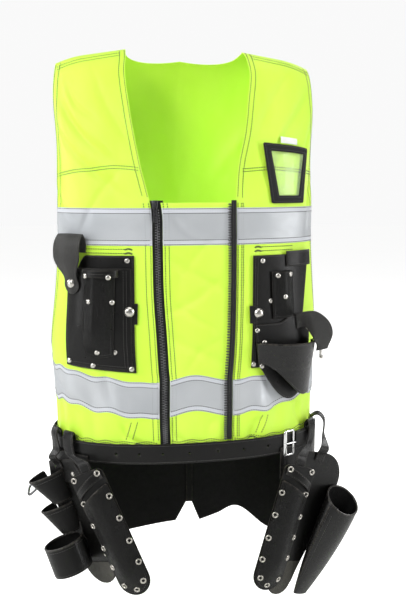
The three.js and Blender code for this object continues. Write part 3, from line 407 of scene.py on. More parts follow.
def make_grain_group():
    """Leather grain: rounded cells with narrow valleys, over fine pores."""
    inputs = [("Place", VECTOR, None), ("Cells", NUMBER, 700.0), ("Pores", NUMBER, 0.3)]
    tree, enter, leave = new_group("leather_grain", inputs, ["Height", "Valley"])
    place = enter.outputs["Place"]
    wobble = {0: noise(tree, place, 260.0, 2.0).outputs["Color"], 1: (0.002, 0.002, 0.002), 2: place}
    shifted = node(tree, "ShaderNodeVectorMath", wobble, operation="MULTIPLY_ADD")
    spacing = {"Vector": shifted.outputs[0], "Scale": enter.outputs["Cells"]}
    cells = node(tree, "ShaderNodeTexVoronoi", spacing, feature="DISTANCE_TO_EDGE")
    valley = spread(tree, cells.outputs["Distance"], 0.0, 0.22)
    pores = noise(tree, place, 2600.0, 3.0)
    fine = math_node(tree, "MULTIPLY", pores.outputs["Fac"], enter.outputs["Pores"])
    tree.links.new(math_node(tree, "ADD", valley, fine), leave.inputs["Height"])
    tree.links.new(math_node(tree, "SUBTRACT", 1.0, valley), leave.inputs["Valley"])
    return tree


def make_knit_group():
    """A fine knit: rows of small loops that lean alternately."""
    inputs = [("Place", VECTOR, None), ("Rows", NUMBER, 900.0)]
    tree, enter, leave = new_group("fine_knit", inputs, ["Height"])
    place, rows = enter.outputs["Place"], enter.outputs["Rows"]
    first = wave(tree, place, rows, 1.2, "X", 1.0)
    second = wave(tree, place, rows, 0.8, "DIAGONAL", 1.0)
    height = math_node(tree, "MULTIPLY", first.outputs["Fac"], second.outputs["Fac"])
    tree.links.new(height, leave.inputs["Height"])
    return tree


def make_mottle_group():
    """Slow and quick variation, from 0 to 1."""
    inputs = [("Place", VECTOR, None), ("Size", NUMBER, 20.0)]
    tree, enter, leave = new_group("mottle", inputs, ["Slow", "Quick"])
    place, size = enter.outputs["Place"], enter.outputs["Size"]
    slow = noise(tree, place, size, 4.0)
    quick = noise(tree, place, math_node(tree, "MULTIPLY", size, 9.0), 5.0)
    tree.links.new(spread(tree, slow.outputs["Fac"], 0.3, 0.7), leave.inputs["Slow"])
    tree.links.new(spread(tree, quick.outputs["Fac"], 0.3, 0.7), leave.inputs["Quick"])
    return tree


def make_edge_highlight_group():
    """Painted highlight where sharp outward corners catch the light, broken up."""
    inputs = [("Place", VECTOR, None), ("Amount", NUMBER, 1.0)]
    tree, enter, leave = new_group("painted_edge_highlight", inputs, ["Mask"])
    sharp = spread(tree, node(tree, "ShaderNodeNewGeometry").outputs["Pointiness"], 0.51, 0.6)
    broken = spread(tree, noise(tree, enter.outputs["Place"], 180.0, 4.0).outputs["Fac"], 0.35, 0.6)
    both = math_node(tree, "MULTIPLY", sharp, broken)
    tree.links.new(math_node(tree, "MULTIPLY", both, enter.outputs["Amount"]), leave.inputs["Mask"])
    return tree


GRAIN, KNIT, MOTTLE, EDGE_HIGHLIGHT = make_grain_group(), make_knit_group(), make_mottle_group(), make_edge_highlight_group()


def new_material(name):
    material = bpy.data.materials.new(name)
    material.use_nodes = True
    tree = material.node_tree
    shader = next(n for n in tree.nodes if n.type == "BSDF_PRINCIPLED")
    return material, tree, shader


def place_of(tree, own_map=False):
    return node(tree, "ShaderNodeTexCoord").outputs["UV" if own_map else "Object"]


def group_node(tree, group, values):
    return node(tree, "ShaderNodeGroup", values, node_tree=group)


def blend_colours(tree, share, first, second):
    made = node(tree, "ShaderNodeMix", data_type="RGBA")
    for socket, value in ((made.inputs["Factor"], share), (made.inputs[6], first), (made.inputs[7], second)):
        if isinstance(value, bpy.types.NodeSocket):
            tree.links.new(value, socket)
        else:
            socket.default_value = value if isinstance(value, float) else (*value[:3], 1)
    return made.outputs[2]


def ranged(tree, value, low, high):
    return node(tree, "ShaderNodeMapRange", {"Value": value, "To Min": low, "To Max": high}).outputs[0]


def bump(tree, height, distance, strength=1.0):
    values = {"Height": height, "Distance": distance, "Strength": strength}
    return node(tree, "ShaderNodeBump", values).outputs["Normal"]


def tone(r, g, b):
    """Linear colour of a screen colour."""
    return tuple((v / 255 / 12.92) if v < 10.3 else ((v / 255 + 0.055) / 1.055) ** 2.4 for v in (r, g, b))


# Dark and light tones of the leathers
TONES = {
    "black": (tone(7, 7, 6), tone(13, 12, 11)),
    "polished": (tone(9, 9, 8), tone(15, 14, 13)),
    "belting": (tone(8, 8, 7), tone(14, 13, 12)),
    "inside": (tone(6, 6, 6), tone(12, 11, 11)),
    # Painted sheen: black leather drawn grey where light falls on the flap and strap
    "grey": (tone(46, 46, 45), tone(66, 65, 63)),
    "pale_sheen": (tone(62, 61, 56), tone(84, 82, 75)),
}
# The tone of the painted highlight on sharp leather edges
EDGE_HIGHLIGHT_TONE = tone(66, 62, 56)


def leather_material(name, tones, rough, cells, depth, pores=0.3, coat=0.0, wear_and_edge_light=1.0, shine=0.32):
    """cells is the grain's scale, and depth its height in metres."""
    dark, light = TONES[tones]
    material, tree, shader = new_material(name)
    place = place_of(tree)
    grain = group_node(tree, GRAIN, {"Place": place, "Cells": cells, "Pores": pores})
    mottle = group_node(tree, MOTTLE, {"Place": place, "Size": 14.0})
    edge_light = group_node(tree, EDGE_HIGHLIGHT, {"Place": place, "Amount": wear_and_edge_light})
    colour = blend_colours(tree, mottle.outputs["Slow"], dark, light)
    # Painted shade darkens the grain's valleys
    valley_shade = math_node(tree, "MULTIPLY", grain.outputs["Valley"], 0.55)
    colour = blend_colours(tree, valley_shade, colour, tuple(0.4 * v for v in dark))
    # Sharp edges lightened: a painted highlight where they catch the light
    colour = blend_colours(tree, edge_light.outputs["Mask"], colour, EDGE_HIGHLIGHT_TONE)
    tree.links.new(colour, shader.inputs["Base Color"])
    gloss = ranged(tree, mottle.outputs["Quick"], rough - 0.07, rough + 0.1)
    tree.links.new(gloss, shader.inputs["Roughness"])
    tree.links.new(bump(tree, grain.outputs["Height"], depth), shader.inputs["Normal"])
    shader.inputs["Coat Weight"].default_value = coat
    shader.inputs["Coat Roughness"].default_value = 0.22
    shader.inputs["Specular IOR Level"].default_value = shine
    return material


def cloth_material():
    material, tree, shader = new_material("fluorescent_knit")
    place = place_of(tree)
    knit = group_node(tree, KNIT, {"Place": place_of(tree, True), "Rows": 330.0})
    # Slanted streaks of lighter and darker cloth, painting light and shade across it
    slanted = {"Vector": place, "Rotation": (0, 0.5, 0), "Scale": (1.0, 1.0, 0.3)}
    stretched = node(tree, "ShaderNodeMapping", slanted)
    mottle = group_node(tree, MOTTLE, {"Place": stretched.outputs[0], "Size": 9.0})
    colour = blend_colours(tree, mottle.outputs["Slow"], tone(200, 248, 62), tone(217, 255, 86))
    shade = math_node(tree, "MULTIPLY", ranged(tree, knit.outputs["Height"], 0.45, 0.0), 0.5)
    colour = blend_colours(tree, shade, colour, tone(176, 226, 4))
    tree.links.new(colour, shader.inputs["Base Color"])
    # A faint glow in the cloth's own colour, painted light that lifts its shade
    tree.links.new(colour, shader.inputs["Emission Color"])
    shader.inputs["Emission Strength"].default_value = 0.06
    tree.links.new(ranged(tree, mottle.outputs["Quick"], 0.38, 0.5), shader.inputs["Roughness"])
    shader.inputs["Sheen Weight"].default_value = 0.35
    shader.inputs["Sheen Roughness"].default_value = 0.35
    shader.inputs["Sheen Tint"].default_value = (0.9, 1.0, 0.45, 1)
    tree.links.new(bump(tree, knit.outputs["Height"], 0.00035, 0.6), shader.inputs["Normal"])
    return material


def band_material():
    material, tree, shader = new_material("reflective_band")
    own = place_of(tree, True)
    parts = node(tree, "ShaderNodeSeparateXYZ", {0: own})
    # Fine slanted ribs of the glass-bead face, and a lighter selvedge beyond the seam at each edge
    ribs = wave(tree, own, 420.0, 0.4, "DIAGONAL")
    mottle = group_node(tree, MOTTLE, {"Place": place_of(tree), "Size": 7.0})
    face = blend_colours(tree, mottle.outputs["Slow"], tone(170, 174, 178), tone(196, 199, 202))
    between_ribs = math_node(tree, "MULTIPLY", ribs.outputs["Fac"], 0.25)
    face = blend_colours(tree, between_ribs, face, tone(140, 143, 146))
    from_middle = math_node(tree, "SUBTRACT", parts.outputs["Y"], BAND_HEIGHT * MM / 2)
    distance = math_node(tree, "ABSOLUTE", from_middle)
    edge = math_node(tree, "GREATER_THAN", distance, (BAND_HEIGHT / 2 - SELVEDGE) * MM)
    colour = blend_colours(tree, edge, face, tone(196, 199, 205))
    tree.links.new(colour, shader.inputs["Base Color"])
    tree.links.new(ranged(tree, mottle.outputs["Quick"], 0.34, 0.5), shader.inputs["Roughness"])
    tree.links.new(ranged(tree, edge, 0.25, 0.0), shader.inputs["Metallic"])
    tree.links.new(bump(tree, ribs.outputs["Fac"], 0.00012, 0.6), shader.inputs["Normal"])
    return material


def metal_material(name, colour, rough, wear_and_edge_light):
    material, tree, shader = new_material(name)
    mottle = group_node(tree, MOTTLE, {"Place": place_of(tree), "Size": 60.0})
    tint = blend_colours(tree, mottle.outputs["Slow"], colour, tuple(v * (1 - wear_and_edge_light) for v in colour))
    tree.links.new(tint, shader.inputs["Base Color"])
    tree.links.new(ranged(tree, mottle.outputs["Quick"], rough, rough + 0.12), shader.inputs["Roughness"])
    tree.links.new(bump(tree, mottle.outputs["Quick"], 0.00002, 0.5), shader.inputs["Normal"])
    shader.inputs["Metallic"].default_value = 1.0
    return material


def plain_material(name, dark, light, rough, rows=0.0, depth=0.0, sheen=0.0):
    """Moulded plastic where rows is 0, otherwise a woven tape or thread."""
    material, tree, shader = new_material(name)
    place = place_of(tree)
    mottle = group_node(tree, MOTTLE, {"Place": place, "Size": 40.0})
    tree.links.new(blend_colours(tree, mottle.outputs["Slow"], dark, light), shader.inputs["Base Color"])
    gloss = ranged(tree, mottle.outputs["Quick"], rough - 0.06, rough + 0.08)
    tree.links.new(gloss, shader.inputs["Roughness"])
    height, distance = mottle.outputs["Quick"], 0.00002
    if rows:
        weave = group_node(tree, KNIT, {"Place": place, "Rows": rows})
        height, distance = weave.outputs["Height"], depth
    tree.links.new(bump(tree, height, distance, 0.7), shader.inputs["Normal"])
    shader.inputs["Sheen Weight"].default_value = sheen
    return material


def film_material():
    material, tree, shader = new_material("clear_film")
    mottle = group_node(tree, MOTTLE, {"Place": place_of(tree), "Size": 16.0})
    colour = blend_colours(tree, mottle.outputs["Slow"], tone(214, 226, 232), tone(236, 242, 246))
    tree.links.new(colour, shader.inputs["Base Color"])
    tree.links.new(ranged(tree, mottle.outputs["Slow"], 0.05, 0.2), shader.inputs["Alpha"])
    tree.links.new(ranged(tree, mottle.outputs["Quick"], 0.06, 0.14), shader.inputs["Roughness"])
    tree.links.new(bump(tree, mottle.outputs["Slow"], 0.0012, 0.6), shader.inputs["Normal"])
    shader.inputs["Coat Weight"].default_value = 0.6
    return material


FABRIC = cloth_material()
BAND = band_material()
SMOOTH = leather_material("smooth_leather", "black", 0.34, 620.0, 0.00012, 0.4, 0.12, 1.0, 0.2)
PEBBLED = leather_material("pebbled_leather", "black", 0.34, 420.0, 0.0009, 0.25, 0.08, 1.0, 0.2)
# Black leather drawn mid grey: painted sheen where the light falls on the chest flap and the scoop strap
SHEEN_GREY = leather_material("pebbled_leather_painted_sheen", "grey", 0.4, 460.0, 0.0006, 0.3, 0.1)
POLISHED = leather_material("polished_leather", "polished", 0.3, 520.0, 0.00008, 0.3, 0.25, 1.0, 0.3)
INSIDE = leather_material("leather_flesh_side", "inside", 0.6, 1500.0, 0.0002, 0.9, 0.0, 1.0, 0.12)
# A pale grey sheet laid on the hip plates' feet, painting the sheen of light there
PALE_SHEEN = leather_material("painted_pale_sheen", "pale_sheen", 0.6, 1500.0, 0.00025, 0.9)
BELTING = leather_material("belt_leather", "belting", 0.38, 800.0, 0.00008, 0.4, 0.1, 0.3, 0.22)
NICKEL = metal_material("nickel", tone(206, 203, 196), 0.2, 0.16)
CHROME = metal_material("bright_steel", tone(226, 226, 226), 0.08, 0.08)
STEEL = metal_material("ring_steel", tone(118, 118, 120), 0.2, 0.2)
GUNMETAL = metal_material("dark_slider_metal", tone(88, 88, 91), 0.24, 0.2)
EYELET = metal_material("plated_eyelet", tone(196, 192, 184), 0.22, 0.3)
# Black plastic teeth drawn mid grey, painting the highlights on their gloss
SHEEN_PLASTIC = plain_material("moulded_black_painted_sheen", tone(62, 62, 64), tone(88, 88, 90), 0.2)
TAPE = plain_material("woven_black_tape", tone(8, 8, 9), tone(15, 15, 16), 0.8, 900.0, 0.0003, 0.04)
THREAD = plain_material("dark_thread", tone(22, 27, 16), tone(42, 48, 32), 0.7, 2400.0, 0.0001, 0.4)
PALE_THREAD = plain_material("leather_thread", tone(26, 24, 22), tone(44, 41, 37), 0.5, 2400.0, 0.0001, 0.3)
LABEL = plain_material("woven_label", tone(232, 232, 228), tone(246, 246, 243), 0.75, 700.0, 0.0002, 0.2)
FILM = film_material()


# Pieces

def settle(name, bm, material, stands_for=(), thickness=0.0, bevel=0.0, inner=None):
    """An object from a bmesh, with its material, its place on the frame and its finishing modifiers."""
    mesh = bpy.data.meshes.new(name)
    bm.to_mesh(mesh)
    bm.free()
    mesh.shade_smooth()
    made = bpy.data.objects.new(name, mesh)
    bpy.context.scene.collection.objects.link(made)
    mesh.materials.append(material)
    if inner:
        mesh.materials.append(inner)
    if thickness:
        solidify = made.modifiers.new("thickness", "SOLIDIFY")
        solidify.thickness = thickness * MM
        solidify.offset = 1
        if inner:
            solidify.material_offset = 1
    if bevel:
        rounding = made.modifiers.new("rounded_edges", "BEVEL")
        rounding.width = bevel * MM
        rounding.segments = 2
        rounding.limit_method = "ANGLE"
        rounding.angle_limit = math.radians(50)
    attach(made, "root")
    if stands_for:
        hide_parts(*([stands_for] if isinstance(stands_for, str) else stands_for))
    return made


def sheet_mesh(us, vs, at):
    """A grid whose corners are placed by at(u, v, 0), facing at(u, v, 1), with its own map in metres."""
    bm = bmesh.new()
    columns, rows = len(us) - 1, len(vs) - 1
    bmesh.ops.create_grid(bm, x_segments=columns, y_segments=rows, size=1)
    own = bm.loops.layers.uv.new("cut")
    spots = {}
    for vert in bm.verts:
        i, j = round((vert.co.x + 1) / 2 * columns), round((vert.co.y + 1) / 2 * rows)
        spots[vert] = (i, j)
        vert.co = at(us[i], vs[j], 0) * MM
    across = running([at(u, vs[rows // 2], 0) * MM for u in us])
    along = running([at(us[columns // 2], v, 0) * MM for v in vs])
    for face in bm.faces:
        for loop in face.loops:
            i, j = spots[loop.vert]
            loop[own].uv = (across[i], along[j])
    bm.normal_update()
    bm.faces.ensure_lookup_table()
    probe = next(f for f in bm.faces if set(spots[v] for v in f.verts) >= {(columns // 2, rows // 2)})
    out = at(us[columns // 2], vs[rows // 2], 1) - at(us[columns // 2], vs[rows // 2], 0)
    if probe.normal.dot(out) < 0:
        bmesh.ops.reverse_faces(bm, faces=bm.faces[:])
    bmesh.ops.remove_doubles(bm, verts=bm.verts[:], dist=0.00002)
    return bm


def running(points):
    total, out = 0, [0.0]
    for a, b in zip(points, points[1:]):
        total += (b - a).length
        out.append(total)
    return out


def leather(name, at, columns, rows, stands_for=(), material=SMOOTH, thick=LEATHER, inner=None, bevel=0.7):
    us = shares(columns) if isinstance(columns, int) else columns
    vs = shares(rows) if isinstance(rows, int) else rows
    return settle(name, sheet_mesh(us, vs, at), material, stands_for, thick, bevel, inner)


def catmull(points, t):
    """A centripetal curve through points, from t = 0 to 1."""
    last = len(points) - 1
    place = clamp(t) * last
    row = min(int(place), last - 1)
    share = place - row
    p1, p2 = points[row], points[row + 1]
    p0 = points[row - 1] if row else p1 * 2 - p2
    p3 = points[row + 2] if row + 2 <= last else p2 * 2 - p1
    d0, d1, d2 = (max((b - a).length, 1e-6) ** 0.5 for a, b in ((p0, p1), (p1, p2), (p2, p3)))
    t1 = ((p1 - p0) / d0 - (p2 - p0) / (d0 + d1) + (p2 - p1) / d1) * d1
    t2 = ((p2 - p1) / d1 - (p3 - p1) / (d1 + d2) + (p3 - p2) / d2) * d1
    s2, s3 = share * share, share**3
    return p1 * (2 * s3 - 3 * s2 + 1) + t1 * (s3 - 2 * s2 + share) + p2 * (3 * s2 - 2 * s3) + t2 * (s3 - s2)


def strap_at(stops, width, thickness, narrowing=lambda v: 1, crown=0.0):
    """A flat strap through stops; each stop gives a point for a distance aside."""
    lines = [[stop(aside) for stop in stops] for aside in (-width / 2, 0, width / 2)]

    def at(u, v, w):
        side = catmull(lines[2], v) - catmull(lines[0], v)
        ahead = catmull(lines[1], min(v + 0.002, 1)) - catmull(lines[1], max(v - 0.002, 0))
        normal = ahead.cross(side).normalized()
        edge = lines[0] if u < 0.5 else lines[2]
        point = catmull(lines[1], v).lerp(catmull(edge, v), abs(2 * u - 1) * narrowing(v))
        return point + normal * ((w - 0.5) * thickness + crown * arch(u))

    return at


def tube_mesh(points, radius, sides=8, closed=False, flat=1.0, out=None):
    """A round wire along points. flat squashes it, out is the direction that it is squashed in."""
    count = len(points)
    rings = []
    for k, point in enumerate(points):
        if closed:
            ahead = points[(k + 1) % count] - points[k - 1]
        else:
            ahead = points[min(k + 1, count - 1)] - points[max(k - 1, 0)]
        ahead.normalize()
        up = out(k) if out else Vector((0, 0, 1)) if abs(ahead.z) < 0.9 else Vector((1, 0, 0))
        side = ahead.cross(up).normalized()
        rings.append((point, side, side.cross(ahead).normalized()))
    if closed:
        rings.append(rings[0])
    size = radius if callable(radius) else lambda share: radius

    def at(u, v, w):
        k = round(v * (len(rings) - 1))
        point, side, up = rings[k]
        angle = 2 * math.pi * u
        reach = size(v) + w
        return point + side * (reach * math.cos(angle)) + up * (flat * reach * math.sin(angle))

    bm = sheet_mesh(shares(sides), shares(len(rings) - 1), at)
    rims = [e for e in bm.edges if e.is_boundary]
    if rims:
        bmesh.ops.holes_fill(bm, edges=rims)
    bmesh.ops.recalc_face_normals(bm, faces=bm.faces[:])
    return bm


def seat_matrix(point, out, ahead=Vector((0, 0, 1))):
    """Axes on a surface: Z outwards, Y as near to ahead as it can be."""
    out = out.normalized()
    up = (ahead - out * ahead.dot(out)).normalized()
    turn = Matrix((up.cross(out), up, out)).transposed().to_4x4()
    return Matrix.Translation(point * MM) @ turn


def repeated(name, template, places, material, stands_for=()):
    """One object of a small shape set at many places."""
    mesh = bpy.data.meshes.new(name + "_shape")
    template.to_mesh(mesh)
    template.free()
    bm = bmesh.new()
    for matrix in places:
        start = len(bm.verts)
        bm.from_mesh(mesh)
        bm.verts.ensure_lookup_table()
        bmesh.ops.transform(bm, matrix=matrix, verts=bm.verts[start:])
    bpy.data.meshes.remove(mesh)
    return settle(name, bm, material, stands_for)


def spun(profile, sides):
    """A turned shape about Z from (radius, height) pairs in millimetres, closed at its axis."""
    bm = bmesh.new()
    verts = [bm.verts.new((r * MM, 0, z * MM)) for r, z in profile]
    edges = [bm.edges.new(pair) for pair in zip(verts, verts[1:])]
    turn = {"cent": (0, 0, 0), "axis": (0, 0, 1), "angle": 2 * math.pi}
    bmesh.ops.spin(bm, geom=verts + edges, steps=sides, use_merge=True, **turn)
    bmesh.ops.remove_doubles(bm, verts=bm.verts[:], dist=0.000005)
    bmesh.ops.recalc_face_normals(bm, faces=bm.faces[:])
    return bm


def rivet_shape():
    return spun([(0, -1.2), (4.7, -1.2), (4.9, -0.1), (4.7, 0.7), (3.6, 1.7), (1.9, 2.2), (0, 2.3)], 14)


def eyelet_shape():
    rim = [(0, -1.2), (5.6, -1.2), (5.9, 0.2), (5.2, 1.3), (3.9, 1.5)]
    return spun(rim + [(2.9, 0.6), (2.6, -0.8), (0, -0.8)], 16)


def snap_shape(radius=9.0, height=5.0):
    flange = [(0, 0), (1, 0), (1.02, 0.12), (0.98, 0.28), (0.9, 0.36)]
    dome = [(0.87, 0.42), (0.76, 0.72), (0.5, 0.93), (0, 1)]
    return spun([(r * radius, z * height) for r, z in flange + dome], 32)


def stitch_shape(length=3.8, width=1.8, height=0.9):
    bm = bmesh.new()
    bmesh.ops.create_icosphere(bm, subdivisions=1, radius=0.5)
    bmesh.ops.scale(bm, vec=(width * MM, length * MM, height * MM), verts=bm.verts[:])
    return bm


SEAMS = {}
STITCH_PITCH = 4.5


def seam(group, line, pitch=STITCH_PITCH):
    """Stitches at an even pitch along a line of (point, outward direction)."""
    marks = SEAMS.setdefault(group, [])
    left = pitch / 2
    for (a, out), (b, _) in zip(line, line[1:]):
        step = b - a
        size = step.length
        if size < 1e-6:
            continue
        spot = left
        while spot < size:
            marks.append(seat_matrix(a + step * (spot / size), out, step))
            spot += pitch
        left = spot - size


def cloth_seam(group, face, path, lift=CLOTH + 0.15):
    """A seam on the cloth through (degrees, down) pairs."""
    line = []
    for degrees, down in path:
        a = cloth(face, degrees, down, lift)
        line.append((a, cloth(face, degrees, down, lift + 1) - a))
    seam(group, line)


def sheet_seam(group, at, path, thick=1.0, pitch=STITCH_PITCH):
    """A seam on the outer side of a leather piece through (u, v) pairs."""
    line = []
    for u, v in path:
        inner, outer = at(u, v, 0), at(u, v, 1)
        line.append((inner + (outer - inner) * thick, outer - inner))
    seam(group, line, pitch)


def polyline(corners, step=0.02):
    """Pairs between corners, close enough together to follow a curved surface."""
    out = []
    for (u0, v0), (u1, v1) in zip(corners, corners[1:]):
        count = max(1, int(max(abs(u1 - u0), abs(v1 - v0)) / step))
        out += [(mix(u0, u1, k / count), mix(v0, v1, k / count)) for k in range(count)]
    return out + [corners[-1]]


def surface_of(*objects):
    depsgraph = bpy.context.evaluated_depsgraph_get()
    return [BVHTree.FromObject(thing, depsgraph) for thing in objects]


def landed(trees, point, out, reach=90):
    """Where a line towards the surface meets it from outside, and the surface's direction there."""
    out = out.normalized()
    start = (point + out * reach) * MM
    best = None
    for tree in trees:
        spot, normal, _, distance = tree.ray_cast(start, -out)
        if spot and (best is None or distance < best[2]):
            best = (spot / MM, normal, distance)
    return (best[0], best[1]) if best else (point, out)


def chest_spot(angle, down):
    a = body("front", angle, down, 0)
    return a, body("front", angle, down, 1) - a


# The vest

def right_edge(down):
    return -section("right", down)


def right_zip_edge(down):
    return ZIP_WIDTH * MIDDLE_PER_MM - section("right", down)


def left_edge(down):
    return section("left", down)


PANELS = {
    "right": ("front", lambda d: (-armhole(d), right_edge(d))),
    "left": ("front", lambda d: (left_edge(d), armhole(d))),
    "centre": ("front", lambda d: (right_zip_edge(d), left_edge(d) - SEAM * MIDDLE_PER_MM)),
    "back": ("back", lambda d: (-armhole(d), armhole(d))),
}
PANEL_NODES = {
    "right": "right_front_panel",
    "left": "left_front_panel",
    "centre": "centre_panel",
    "back": "back_panel",
}


def back_neck(degrees, down):
    reach = armhole(down) / SECTIONS[0][4]
    share = min(abs(degrees) / (25 * reach), 1)
    dip = 28 * math.sqrt(1 - share**2)
    return mix(dip, 48, down / 48) if down < 48 else down


def panel_at(name, low=0.0, high=CLOTH, settle_down=None):
    face, edges = PANELS[name]

    def at(u, down, w):
        start, end = edges(down)
        degrees = mix(start, end, u)
        place = settle_down(degrees, down) if settle_down else down
        return cloth(face, degrees, place, mix(low, high, w))

    return at


def graded(count, edge=0.011):
    """Shares across a panel, closer together at both edges."""
    return [0, edge / 2, edge, 1.6 * edge] + spaced(2.6 * edge, 1 - 2.6 * edge, count) + [
        1 - 1.6 * edge, 1 - edge, 1 - edge / 2, 1,
    ]


def make_cloth():
    top_rows = [0, 1, 2.5, 5, 8, 11.5, 15, 19, 23]
    for name, columns in (("right", 56), ("left", 56), ("centre", 30), ("back", 112)):
        rows = spaced(272, LENGTH, 106) if name == "centre" else top_rows + spaced(27, LENGTH, 164)
        at = panel_at(name, settle_down=back_neck if name == "back" else None)
        bm = sheet_mesh(graded(columns), rows, at)
        area = sum(face.calc_area() for face in bm.faces)
        width = max(running([at(u, row, 0) * MM for u in shares(24)])[-1] for row in rows[::12])
        length = max(running([at(u, row, 0) * MM for row in rows])[-1] for u in shares(6))
        made = settle(PANEL_NODES[name] + "_cloth", bm, FABRIC, PANEL_NODES[name], 1.1)
    for name, columns in (("right", 44), ("left", 44), ("centre", 26), ("back", 96)):
        for band, top in (("chest_band", CHEST_BAND), ("waist_band", WAIST_BAND)):
            at = panel_at(name, BAND_LIFT - 0.6, BAND_LIFT + 0.1)
            bm = sheet_mesh(shares(columns), spaced(top, top + BAND_HEIGHT, 18), at)
            node_name = f"{band}_{name}"
            made = settle(node_name + "_tape", bm, BAND, node_name, 0.7, 0.2)
            face, edges = PANELS[name]
            for inset in (*BAND_SEAMS, *(BAND_HEIGHT - inset for inset in reversed(BAND_SEAMS))):
                down = top + inset
                start, end = edges(down)
                path = [(mix(start, end, 0.01 + 0.98 * s), down) for s in shares(90)]
                cloth_seam("band_stitching", face, path, BAND_LIFT + 0.25)


def inset_edge(face, edge, mm, rows):
    """(degrees, down) pairs that run beside an edge of a panel, some millimetres in."""
    out = []
    for down in rows:
        degrees = edge(down)
        out.append((degrees + mm * per_mm(face, degrees, down), down))
    return out


def edge_seam(face, edge, mm, rows):
    cloth_seam("vest_stitching", face, inset_edge(face, edge, mm, rows))


def make_cloth_seams():
    arm_rows = spaced(4, ARMHOLE_END, 110)
    back_rows = spaced(6, ARMHOLE_END, 110)
    neck_rows = spaced(4, 262, 60)
    for inset in (2.2, 9.5):
        edge_seam("front", lambda d: -armhole(d), inset, arm_rows)
        edge_seam("front", armhole, -inset, arm_rows)
        for side in (-1, 1):
            edge_seam("back", lambda d: side * armhole(d), -side * inset, back_rows)
    for inset in (2.4, 11):
        edge_seam("front", right_edge, -inset, neck_rows)
        edge_seam("front", left_edge, inset, neck_rows)
        # Round the back of the neck
        ring = [(degrees, back_neck(degrees, 0) + inset + 0.6) for degrees in spaced(-24, 24, 60)]
        cloth_seam("vest_stitching", "back", ring)
    zip_rows = spaced(ZIP_TOP + 4, ZIP_END - 10, 90)
    for inset in (3, 12):
        edge_seam("front", right_edge, -inset, zip_rows)
    for inset in (4, 11):
        edge_seam("front", right_zip_edge, inset, zip_rows)
    for inset in (3, 9.5, 13):
        edge_seam("front", left_edge, inset, zip_rows)
    for offset in (0, 5):
        right = [(-70, 218), (-65.3, 215), (-50, 211), (-32.9, 207), (-27, 209), (-22.4, 212)]
        left = [(20.6, 214), (33.5, 208), (50, 210), (67.3, 212), (70, 212)]
        back = [(-70, 196), (-35, 188), (0, 186), (35, 188), (70, 196)]
        for face, corners in (("front", right), ("front", left), ("back", back)):
            path = polyline([(a, d + offset) for a, d in corners], 1.5)
            cloth_seam("vest_stitching", face, path)
    for offset in (9, 14):
        for face in ("front", "back"):
            for side in (-1, 1):
                path = [(side * degrees, offset) for degrees in spaced(27.5, 65, 30)]
                cloth_seam("vest_stitching", face, path)
    for offset in (0, 4):
        for name, (face, edges) in PANELS.items():
            start, end = edges(LENGTH)
            path = []
            for s in shares(100):
                degrees = mix(start, end, 0.01 + 0.98 * s)
                path.append((degrees, LENGTH - 12 - offset + 1.6 * math.sin(degrees * 0.7)))
            cloth_seam("vest_stitching", face, path)
    for down in (352, 359):
        cloth_seam("vest_stitching", "front", polyline([(-47, down), (-26.5, down)], 1.5))
        cloth_seam("vest_stitching", "front", polyline([(27, down - 1), (46, down - 1)], 1.5))
    for degrees, down in ((-27, 352), (-27, 359), (27.5, 351), (27.5, 358), (-24.2, 700), (24.5, 698)):
        bar = [(degrees + k, down + (1.2 if i % 2 else -1.2)) for i, k in enumerate(spaced(-1.6, 1.6, 14))]
        cloth_seam("vest_stitching", "front", bar)
    for a0, a1 in ((-24, -26.5), (-26.6, -29.2), (29, 26), (32, 28.5)):
        cloth_seam("vest_stitching", "front", polyline([(a0, 652), (a1, 692)], 1.5))
    for side in (-1, 1):
        for face in ("front", "back"):
            edge_seam(face, lambda d: side * 89.9, -side * 4, spaced(ARMHOLE_END + 6, LENGTH - 6, 30))


# The zips

BEVEL = {"profile": 0.5, "affect": "EDGES", "material": -1}


def tooth_shape():
    bm = bmesh.new()
    bmesh.ops.create_cube(bm, size=1)
    bmesh.ops.scale(bm, vec=(5.0 * MM, 2.3 * MM, 3.0 * MM), verts=bm.verts[:])
    edges = [e for e in bm.edges if abs((e.verts[0].co - e.verts[1].co).y) < 1e-6 and e.verts[0].co.z > 0]
    bmesh.ops.bevel(bm, geom=edges, offset=0.5 * MM, segments=1, **BEVEL)
    return bm


def zip_middle(down):
    return ZIP_WIDTH / 2 * MIDDLE_PER_MM - section("right", down)


def left_tape(down):
    return section("left", down) - 10 * MIDDLE_PER_MM, section("left", down) - MIDDLE_PER_MM


def tooth_places(degrees_at, rows, lift, aside):
    places = []
    for k, down in enumerate(rows):
        degrees = degrees_at(down)
        point = cloth("front", degrees, down, lift)
        out = cloth("front", degrees, down, lift + 1) - point
        ahead = cloth("front", degrees_at(down + 1), down + 1, lift) - point
        matrix = seat_matrix(point, out, ahead)
        places.append(matrix @ Matrix.Translation(((aside if k % 2 else -aside) * MM, 0, 0)))
    return places


